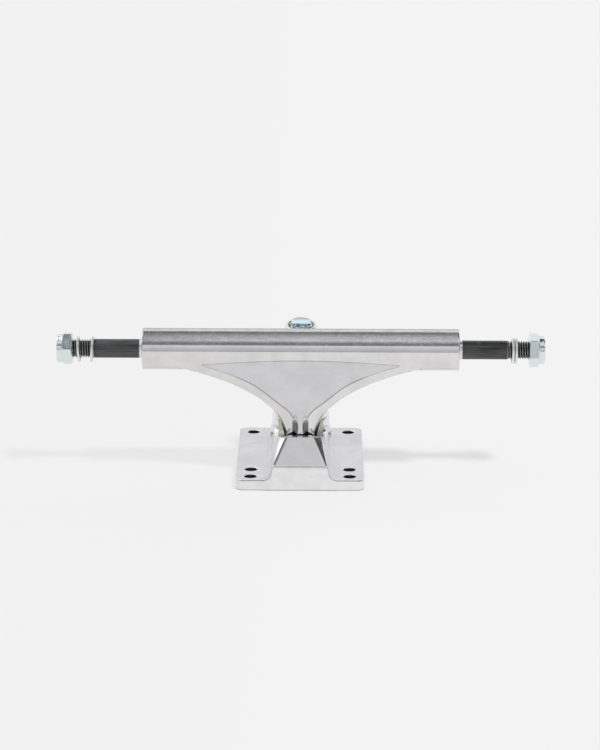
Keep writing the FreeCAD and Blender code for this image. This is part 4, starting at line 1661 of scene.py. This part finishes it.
@dataclass
class LockNut:
    """Nylon lock nut: hexagon with turned chamfers, crimped collar and its ring."""

    name: str
    across: float
    hexagon: float
    collar: float
    collar_radius: float
    insert_radius: float
    insert_height: float
    bolt_radius: float
    pose: Pose
    chamfer: float = 28.0
    lip: float = 0.45
    turns: int = 240
    crimps: int = 0

    def build(self) -> None:
        """Mesh, dress and tie the nut and its ring."""
        half = self.across / 2
        bore = self.bolt_radius + 0.05
        total = self.hexagon + self.collar
        angle = around(self.turns)
        corner, blend = half / math.cos(math.pi / 6) - 0.12, 14
        outer = -np.log(np.exp(-hexagon_reach(half, angle) * blend) + math.exp(-corner * blend)) / blend
        bevel = np.maximum(outer - half * 0.975, 0) * math.tan(math.radians(self.chamfer))
        crimp = 0.07 * np.cos(angle * self.crimps) if self.crimps else np.zeros_like(angle)
        seat = total - self.lip - self.insert_height
        rim = self.collar_radius

        def row(radius: float, height: float, wave: float = 0.0) -> tuple[Array, Array]:
            """Round row at a height, with a share of the crimps."""
            return np.full(self.turns, radius) + crimp * wave, np.full(self.turns, height)
        edge = 0.10
        # Foot and hexagon, then the collar up to its lip, then back down inside it.
        rows = [row(bore, 0.35), row(bore + 0.35, 0.0), row(half * 0.93, 0.0), row(half * 0.965, 0.03),
                (outer - edge, np.maximum(bevel - edge * 0.3, 0.05)), (outer, bevel + edge),
                (outer, self.hexagon - bevel - edge),
                (outer - edge, self.hexagon - bevel + edge * 0.3 - 0.02)]
        rows += [row(max(half * 0.94, rim + 0.25), self.hexagon + 0.02), row(rim + 0.12, self.hexagon + 0.10),
                 row(rim, self.hexagon + 0.32), row(rim, total - 0.75), row(rim - 0.06, total - 0.42, 0.6),
                 row(rim - 0.22, total - 0.16, 1.0), row(rim - 0.48, total - 0.02, 1.0),
                 row(rim - 0.62, total, 1.0)]
        inner, lip = self.insert_radius - 0.28, total - self.lip
        rows += [row(inner + 0.12, total - 0.03, 1.0), row(inner, total - 0.14, 1.0), row(inner, lip),
                 row(self.insert_radius, lip), row(self.insert_radius, seat), row(bore, seat)]
        radii, heights = (np.array(column) for column in zip(*rows))
        nut = spun(self.name + "_body", radii, heights, self.pose, True, 30.0)
        Slot.ZINC.give(nut, self.name, self.name)
        play = 0.05
        low, high, rim = seat + play, lip - play, self.insert_radius - play
        ring = turned(self.name + "_nylon", [
            (bore, low, 0.0), (rim, low, 0.0), (rim, high, 0.2), (bore, high, 0.3)], self.pose)
        Slot.NYLON.give(ring, self.name + "_insert", self.name + "_insert")


@dataclass
class Thread:
    """Rolled thread: its radii, lead and the stretch that it covers."""

    crest: float
    root: float
    lead: float
    start: float
    end: float
    run_out: float = 1.2
    steps: int = 12

    def rows(self) -> tuple[Array, Array]:
        """Radii and heights of the threaded stretch.

        Returns:
            The radius and the height of each row and angle.
        """
        count = int((self.end - self.start) / self.lead * self.steps) + 1
        height = np.repeat(np.linspace(self.start, self.end, count)[:, None], SHAFT_TURNS, axis=1)
        phase = np.mod(height / self.lead - around(SHAFT_TURNS) / (2 * math.pi), 1.0)
        ramp = np.abs(phase - 0.5) * 2
        profile = np.clip((ramp - 0.12) / 0.72, 0, 1)
        profile = profile * profile * (3 - 2 * profile) * 0.35 + profile * 0.65
        ends = np.clip(np.minimum(height - self.start, self.end - height) / self.run_out, 0, 1)
        return self.crest - (self.crest - self.root) * profile * ends, height


def threaded_rows(parts: Sequence["Thread | tuple[float, float]"]) -> tuple[Array, Array]:
    """Rows of a shaft made of threads and plain stretches.

    Args:
        parts: Threads, and (radius, height) pairs between them.

    Returns:
        The radii and heights of all rows.
    """
    rows = [part.rows() if isinstance(part, Thread)
            else tuple(np.full((1, SHAFT_TURNS), value) for value in part) for part in parts]
    return np.vstack([radius for radius, _ in rows]), np.vstack([height for _, height in rows])


@dataclass
class AxleSet:
    """Through axle, its nuts and the loose speed rings."""

    length: float = 203.2
    radius: float = 3.97
    crest: float = 3.9
    root: float = 3.15
    lead: float = 1.0583
    thread_length: float = 14.6
    overhang: float = 1.15
    nut_across: float = 12.7
    hexagon: float = 4.2
    collar: float = 2.4
    collar_radius: float = 5.9
    insert_radius: float = 5.1
    insert_height: float = 1.7
    ring_radius: float = 5.5
    ring_thickness: float = 1.05
    ring_hang: float = 0.36
    gaps: Mapping[str, float] = field(default_factory=lambda: {
        "left_inner": 8.19, "left_outer": 2.45, "right_inner": 6.75, "right_outer": 5.37})
    tilts: Mapping[str, float] = field(default_factory=lambda: {"left_inner": 3.5, "left_outer": -3.5})
    nut_turns: Mapping[str, float] = field(default_factory=lambda: {"left": 40.0, "right": 46.0})

    def build(self) -> None:
        """Build the axle, the rings and the nuts."""
        centre = np.array(LAYOUT.axle_centre)
        half, end = self.length / 2, self.thread_length
        first = Thread(self.crest, self.root, self.lead, 0.7, end)
        last = Thread(self.crest, self.root, self.lead, self.length - end, self.length - 0.7)
        radii, heights = threaded_rows([
            (self.crest - 1.0, 0.0), (self.crest - 0.75, 0.08), first, (self.radius, end + 0.12),
            (self.radius, self.length - end - 0.12), last, (self.crest - 0.75, self.length - 0.08),
            (self.crest - 1.0, self.length)])
        pose = Pose(centre - (half, 0, 0), (1, 0, 0))
        Slot.BLACK.give(spun("axle_shaft", radii, heights, pose, False, 50.0), "hanger", "axle")
        for side, sign in (("left", -1.0), ("right", 1.0)):
            face = half + self.overhang - self.hexagon - self.collar
            origin = centre + (sign * face, 0, 0)
            pose = Pose(origin, (sign, 0, 0), self.nut_turns[side])
            LockNut("axle_nut_" + side, self.nut_across, self.hexagon, self.collar, self.collar_radius,
                    self.insert_radius, self.insert_height, self.crest, pose).build()
            for row in ("inner", "outer"):
                label = f"{side}_{row}"
                self.speed_ring(label, origin - (sign * self.gaps[label], 0, 0), self.tilts.get(label, 0.0))

    def speed_ring(self, label: str, centre: Array, tilt: float) -> None:
        """Build one loose ring.

        Args:
            label: Its side and row.
            centre: Its centre on the axle's line.
            tilt: Its lean in degrees.
        """
        lean = math.radians(90.0 + tilt)
        direction = np.array([math.sin(lean), 0.0, math.cos(lean)])
        bore, half = self.radius + 0.08 + self.ring_hang, self.ring_thickness / 2
        piece = turned("ring_" + label + "_washer", [
            (bore, -half, 0.12), (self.ring_radius, -half, 0.28), (self.ring_radius, half, 0.28),
            (bore, half, 0.12)], Pose(centre - (0, 0, self.ring_hang), direction))
        Slot.RING.give(piece, "ring_" + label, "speed_ring_" + label)


@dataclass
class KingpinStack:
    """Kingpin, its washers, bushings and nut, and the pivot cup."""

    radius: float = 4.76
    crest: float = 4.7
    root: float = 4.05
    lead: float = 1.0583
    tip_show: float = 1.3
    tip_chamfer: float = 0.35
    head_across: float = 14.29
    head_thickness: float = 6.0
    nut_hexagon: float = 6.4
    nut_collar: float = 2.9
    collar_radius: float = 6.75
    insert_radius: float = 6.0
    insert_height: float = 2.1
    bushing_bore: float = 4.95
    cup_wall: float = 1.6
    cup_inner: float = 5.65
    cup_reach: float = 3.0

    def build(self) -> None:
        """Build every piece of the stack."""
        self.bolt()
        self.washers()
        self.bushings()
        nut_pose = Pose(LAYOUT.on_kingpin(LAYOUT.nut_foot), LAYOUT.kingpin_up)
        LockNut("kingpin_nut", self.head_across, self.nut_hexagon, self.nut_collar, self.collar_radius,
                self.insert_radius, self.insert_height, self.crest, nut_pose, crimps=12).build()
        self.cup()

    def bolt(self) -> None:
        """Hexagon head bolt with its threaded end."""
        up = LAYOUT.kingpin_up
        foot = LAYOUT.head_depth + self.head_thickness
        shank = foot + LAYOUT.ring_floor + LAYOUT.upper_bushing_height
        tip = foot + LAYOUT.nut_foot + self.nut_hexagon + self.nut_collar + self.tip_show
        turns, half = SHAFT_TURNS, self.head_across / 2
        outer = np.minimum(hexagon_reach(half, around(turns)), half / math.cos(math.pi / 6) - 0.1)
        bevel = np.maximum(outer - half * 0.97, 0) * math.tan(math.radians(30))
        head_r = [np.full(turns, half * 0.9), np.full(turns, half * 0.97), outer, outer]
        head_h = [np.zeros(turns), np.full(turns, 0.03), bevel + 0.05, np.full(turns, self.head_thickness)]
        thread = Thread(self.crest, self.root, self.lead, shank, tip - self.tip_chamfer)
        radii, heights = threaded_rows([
            (self.radius + 0.4, self.head_thickness), (self.radius, self.head_thickness + 0.4),
            (self.radius, shank - 0.3), thread, (self.crest - self.tip_chamfer * 0.9, tip - 0.05),
            (self.crest - self.tip_chamfer * 1.15, tip)])
        piece = spun("kingpin_bolt", np.vstack([head_r, radii]), np.vstack([head_h, heights]),
                     Pose(LAYOUT.on_kingpin(-foot), up, 180.0), False, 40.0)
        Slot.KINGPIN.give(piece, "base", "kingpin")

    def washers(self) -> None:
        """The two cup washers."""
        bore, thick = self.radius + 0.05, LAYOUT.washer_thickness
        top = thick + 1.2
        for name, lip, pose in (
                ("lower_washer", LAYOUT.bushing_radius + 0.4,
                 Pose(LAYOUT.on_kingpin(-LAYOUT.boss_seat), LAYOUT.kingpin_up)),
                ("upper_washer", 9.1, Pose(LAYOUT.on_kingpin(LAYOUT.nut_foot), -LAYOUT.kingpin_up))):
            piece = turned(name + "_cup", [
                (bore, 0.0, 0.2), (lip + 1.1, 0.0, 1.0), (lip + 1.1, top, 0.3), (lip, top, 0.3),
                (lip, thick, 0.5), (bore, thick, 0.2)], pose)
            Slot.ZINC.give(piece, "base", name)

    def bushings(self) -> None:
        """The two urethane bushings between the base and the hanger."""
        up = LAYOUT.kingpin_up
        floor, wide, bore = LAYOUT.ring_floor, LAYOUT.bushing_radius, self.bushing_bore
        low, high = LAYOUT.lower_bushing_height, LAYOUT.upper_bushing_height
        lower = turned("lower_bushing_barrel", [
            (bore, 0.0, 0.3), (wide - 0.5, 0.0, 0.9), (wide, low * 0.3, 3.0), (wide, low * 0.7, 3.0),
            (wide - 0.5, low, 0.9), (bore, low, 0.3)], Pose(LAYOUT.on_kingpin(-floor - low), up))
        upper = turned("upper_bushing_cone", [
            (bore, 0.0, 0.3), (wide, 0.0, 0.5), (wide, 2.0, 1.0), (8.7, high, 0.7), (bore, high, 0.3)],
            Pose(LAYOUT.on_kingpin(floor), up))
        ends = ((lower, "lower_bushing", -floor - low), (upper, "upper_bushing", floor + high))
        for piece, node, far in ends:
            Slot.RUBBER.finish.dress(piece)
            near = floor if far > 0 else -floor
            tuple(LAYOUT.on_kingpin(far) * MM)
            tuple(LAYOUT.on_kingpin(near) * MM)
            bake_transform(piece)
            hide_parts(node)
            LOG.info("%s bends between base and hanger", piece.name)

    def cup(self) -> None:
        """Moulded cup between the stem and its socket."""
        inner, outer = self.cup_inner, self.cup_inner + self.cup_wall
        steps = 14
        angles = [math.radians(90 * (1 - step / steps)) for step in range(steps + 1)]
        outside = [(outer * math.cos(a), -outer * math.sin(a)) for a in angles]
        inside = [(inner * math.cos(a), -inner * math.sin(a)) for a in reversed(angles)]
        edge = [(outer, self.cup_reach - 0.4), (outer - 0.4, self.cup_reach), (inner + 0.3, self.cup_reach),
                (inner, self.cup_reach - 0.3)]
        outline = np.array([*outside, *edge, *inside])
        outline[:, 0] = np.maximum(outline[:, 0], 0.001)
        piece = revolved("pivot_cup_moulding", outline, Pose(LAYOUT.pivot, LAYOUT.stem_up), turns=SHAFT_TURNS)
        Slot.CUP.give(piece, "base", "pivot_cup")


# Studio

@dataclass
class Studio:
    """Floor, light and camera."""

    target: Triple = (-0.33, 0.0, 37.99)
    camera_azimuth: float = 0.3
    camera_elevation: float = 15.8
    camera_roll: float = 0.17
    camera_distance: float = 1240.0
    focal: float = 139.82
    floor_height: float = -0.02
    floor_tone: float = 0.80
    seen_tone: float = 0.26
    floor_glow: float = 0.595
    lamp_power: float = 2.1
    lamp_spread: float = 8.0
    lamp_place: Triple = (0.391, -0.270, 0.880)
    seen_tone_left: float = 0.125
    floor_glow_left: float = 0.74
    left_to: float = -0.045
    right_from: float = 0.030
    glossy_warmth: Triple = (0.90, 0.882, 0.865)
    backdrop: float = 0.87
    softbox: Triple = (-0.51, 0.30, 0.80)
    softbox_level: float = 1.25
    flag_level: float = 0.03
    room_greys: Sequence[tuple[float, float]] = (
        (0.0, 0.34), (0.012, 0.34), (0.026, 0.54), (0.09, 0.56), (0.13, 0.66), (0.15, 0.73), (0.184, 0.74),
        (0.198, 0.27), (0.255, 0.25), (0.283, 0.38), (0.317, 0.60), (0.35, 0.82), (0.384, 0.78), (0.42, 0.68),
        (0.47, 0.66), (0.533, 0.50), (0.60, 0.36), (0.635, 0.26), (0.69, 0.24), (0.715, 0.50), (0.735, 0.88),
        (0.775, 0.98), (0.862, 0.93), (0.885, 0.67), (0.94, 0.65), (1.0, 0.68))

    def build(self) -> None:
        """Build the floor, the lights and the camera."""
        self.floor()
        self.world()
        self.lamps()
        self.camera()
        bpy.context.scene.view_settings.view_transform = "Standard"

    def floor(self) -> None:
        """Pale floor that keeps the object's shadow."""
        reach = 6000.0
        corners = [(across * reach, along * reach, self.floor_height)
                   for across, along in ((-1, -1), (1, -1), (1, 1), (-1, 1))]
        floor = mesh_piece("studio_floor", np.array(corners), [[0, 1, 2, 3]])
        material = bpy.data.materials.new("studio_floor")
        material.use_nodes = True
        graph = Graph(material.node_tree)
        lit = graph.signal("ShaderNodeBsdfDiffuse", inputs={"Color": grey(self.floor_tone)})
        path = graph.node("ShaderNodeLightPath")
        by_camera, by_glossy, by_clear = (Signal(graph, path.outputs[f"Is {name} Ray"])
                                          for name in ("Camera", "Glossy", "Transmission"))
        sharp_ray = by_camera.larger(by_glossy).larger(by_clear)
        warmth = graph.mixed(by_glossy, colour((1.0, 1.0, 0.998)), colour(self.glossy_warmth))
        halves = []
        for tone, strength in ((self.seen_tone_left, self.floor_glow_left), (self.seen_tone, self.floor_glow)):
            seen_lit = graph.signal("ShaderNodeBsdfDiffuse", inputs={"Color": grey(tone)})
            glow = graph.signal("ShaderNodeEmission", inputs={"Color": warmth, "Strength": strength})
            halves.append(graph.signal("ShaderNodeAddShader", inputs={0: seen_lit, 1: glow}))
        across = graph.parts_of(graph.place())[0].step_up(self.left_to, self.right_from)
        seen = graph.signal("ShaderNodeMixShader", inputs={0: across, 1: halves[0], 2: halves[1]})
        shader = graph.signal("ShaderNodeMixShader", inputs={0: sharp_ray, 1: lit, 2: seen})
        graph.node("ShaderNodeOutputMaterial", inputs={"Surface": shader})
        floor.data.materials.append(material)

    def world(self) -> None:
        """Soft room: bright walls, dark frames at the ceiling's edges, a softbox high up, dark sides."""
        world = bpy.data.worlds.new("studio_room")
        bpy.context.scene.world = world
        world.use_nodes = True
        graph = Graph(world.node_tree)
        direction = graph.signal("ShaderNodeTexCoord", output="Generated")
        side, along, height = graph.parts_of(direction)
        turn = graph.signal("ShaderNodeMath", {"operation": "ARCTAN2"}, {0: height, 1: along * -1.0}) / math.pi
        stops = [(place, (level, level * 0.998, level * 1.01)) for place, level in self.room_greys]
        shade = graph.signal("ShaderNodeValToRGB", {"stops": stops}, {0: turn})
        flank = side.size().step_up(0.78, 0.93) * height.step_down(0.35, 0.70)
        shade = graph.mixed(flank * 0.45, shade, colour((0.20, 0.23, 0.31)))
        patch = side.step_down(-0.078, -0.052) * side.step_up(-0.30, -0.22) * height.step_up(0.70, 0.80)
        shade = graph.mixed(patch * 0.85, shade, colour((0.10, 0.11, 0.12)))
        for sign, level in ((1.0, self.softbox_level), (-1.0, self.flag_level)):
            towards = (self.softbox[0] * sign, self.softbox[1], self.softbox[2])
            near = graph.signal("ShaderNodeVectorMath", {"operation": "DOT_PRODUCT"},
                                {0: direction, 1: towards}, output=1).step_up(0.925, 0.965)
            shade = graph.mixed(near, shade, grey(level))
        ambient = graph.signal("ShaderNodeBackground", inputs={"Color": shade, "Strength": 1.0})
        white = graph.signal("ShaderNodeBackground", inputs={"Color": grey(self.backdrop), "Strength": 1.0})
        seen = graph.signal("ShaderNodeLightPath", output="Is Camera Ray")
        shader = graph.signal("ShaderNodeMixShader", inputs={0: seen, 1: ambient, 2: white})
        graph.node("ShaderNodeOutputWorld", inputs={"Surface": shader})

    def lamps(self) -> None:
        """Light from above, in front and to the right, which makes the floor's shadows."""
        data = bpy.data.lights.new("overhead_light", "SUN")
        data.angle = math.radians(self.lamp_spread)
        data.energy = self.lamp_power
        lamp = placed("overhead_light", data)
        lamp.rotation_euler = (-Vector(self.lamp_place)).to_track_quat("-Z", "Y").to_euler()
        lamp.visible_glossy = False

    def camera(self) -> None:
        """Camera at the photograph's angle."""
        azimuth, elevation = math.radians(self.camera_azimuth), math.radians(self.camera_elevation)
        level = math.cos(elevation)
        back = Vector((math.sin(azimuth) * level, -math.cos(azimuth) * level, math.sin(elevation)))
        right = (-back).cross(Vector((0, 0, 1))).normalized()
        up = right.cross(-back)
        roll = math.radians(self.camera_roll)
        tilted_right = right * math.cos(roll) + up * math.sin(roll)
        tilted_up = up * math.cos(roll) - right * math.sin(roll)
        data = bpy.data.cameras.new("camera")
        data.sensor_width, data.lens = 36.0, self.focal
        data.clip_end = 50.0
        camera = placed("camera", data)
        place = (Vector(self.target) + back * self.camera_distance) * MM
        axes = Matrix((tilted_right, tilted_up, back)).transposed()
        camera.matrix_world = Matrix.Translation(place) @ axes.to_4x4()
        bpy.context.scene.camera = camera


def main() -> None:
    """Build the truck and its studio."""
    logging.basicConfig(level=logging.INFO, format="%(name)s: %(message)s")
    for assembly in (Baseplate(), Hanger(), KingpinStack(), AxleSet(), Studio()):
        assembly.build()
        LOG.info("%s built", type(assembly).__name__)


if __name__ == "__main__":
    main()
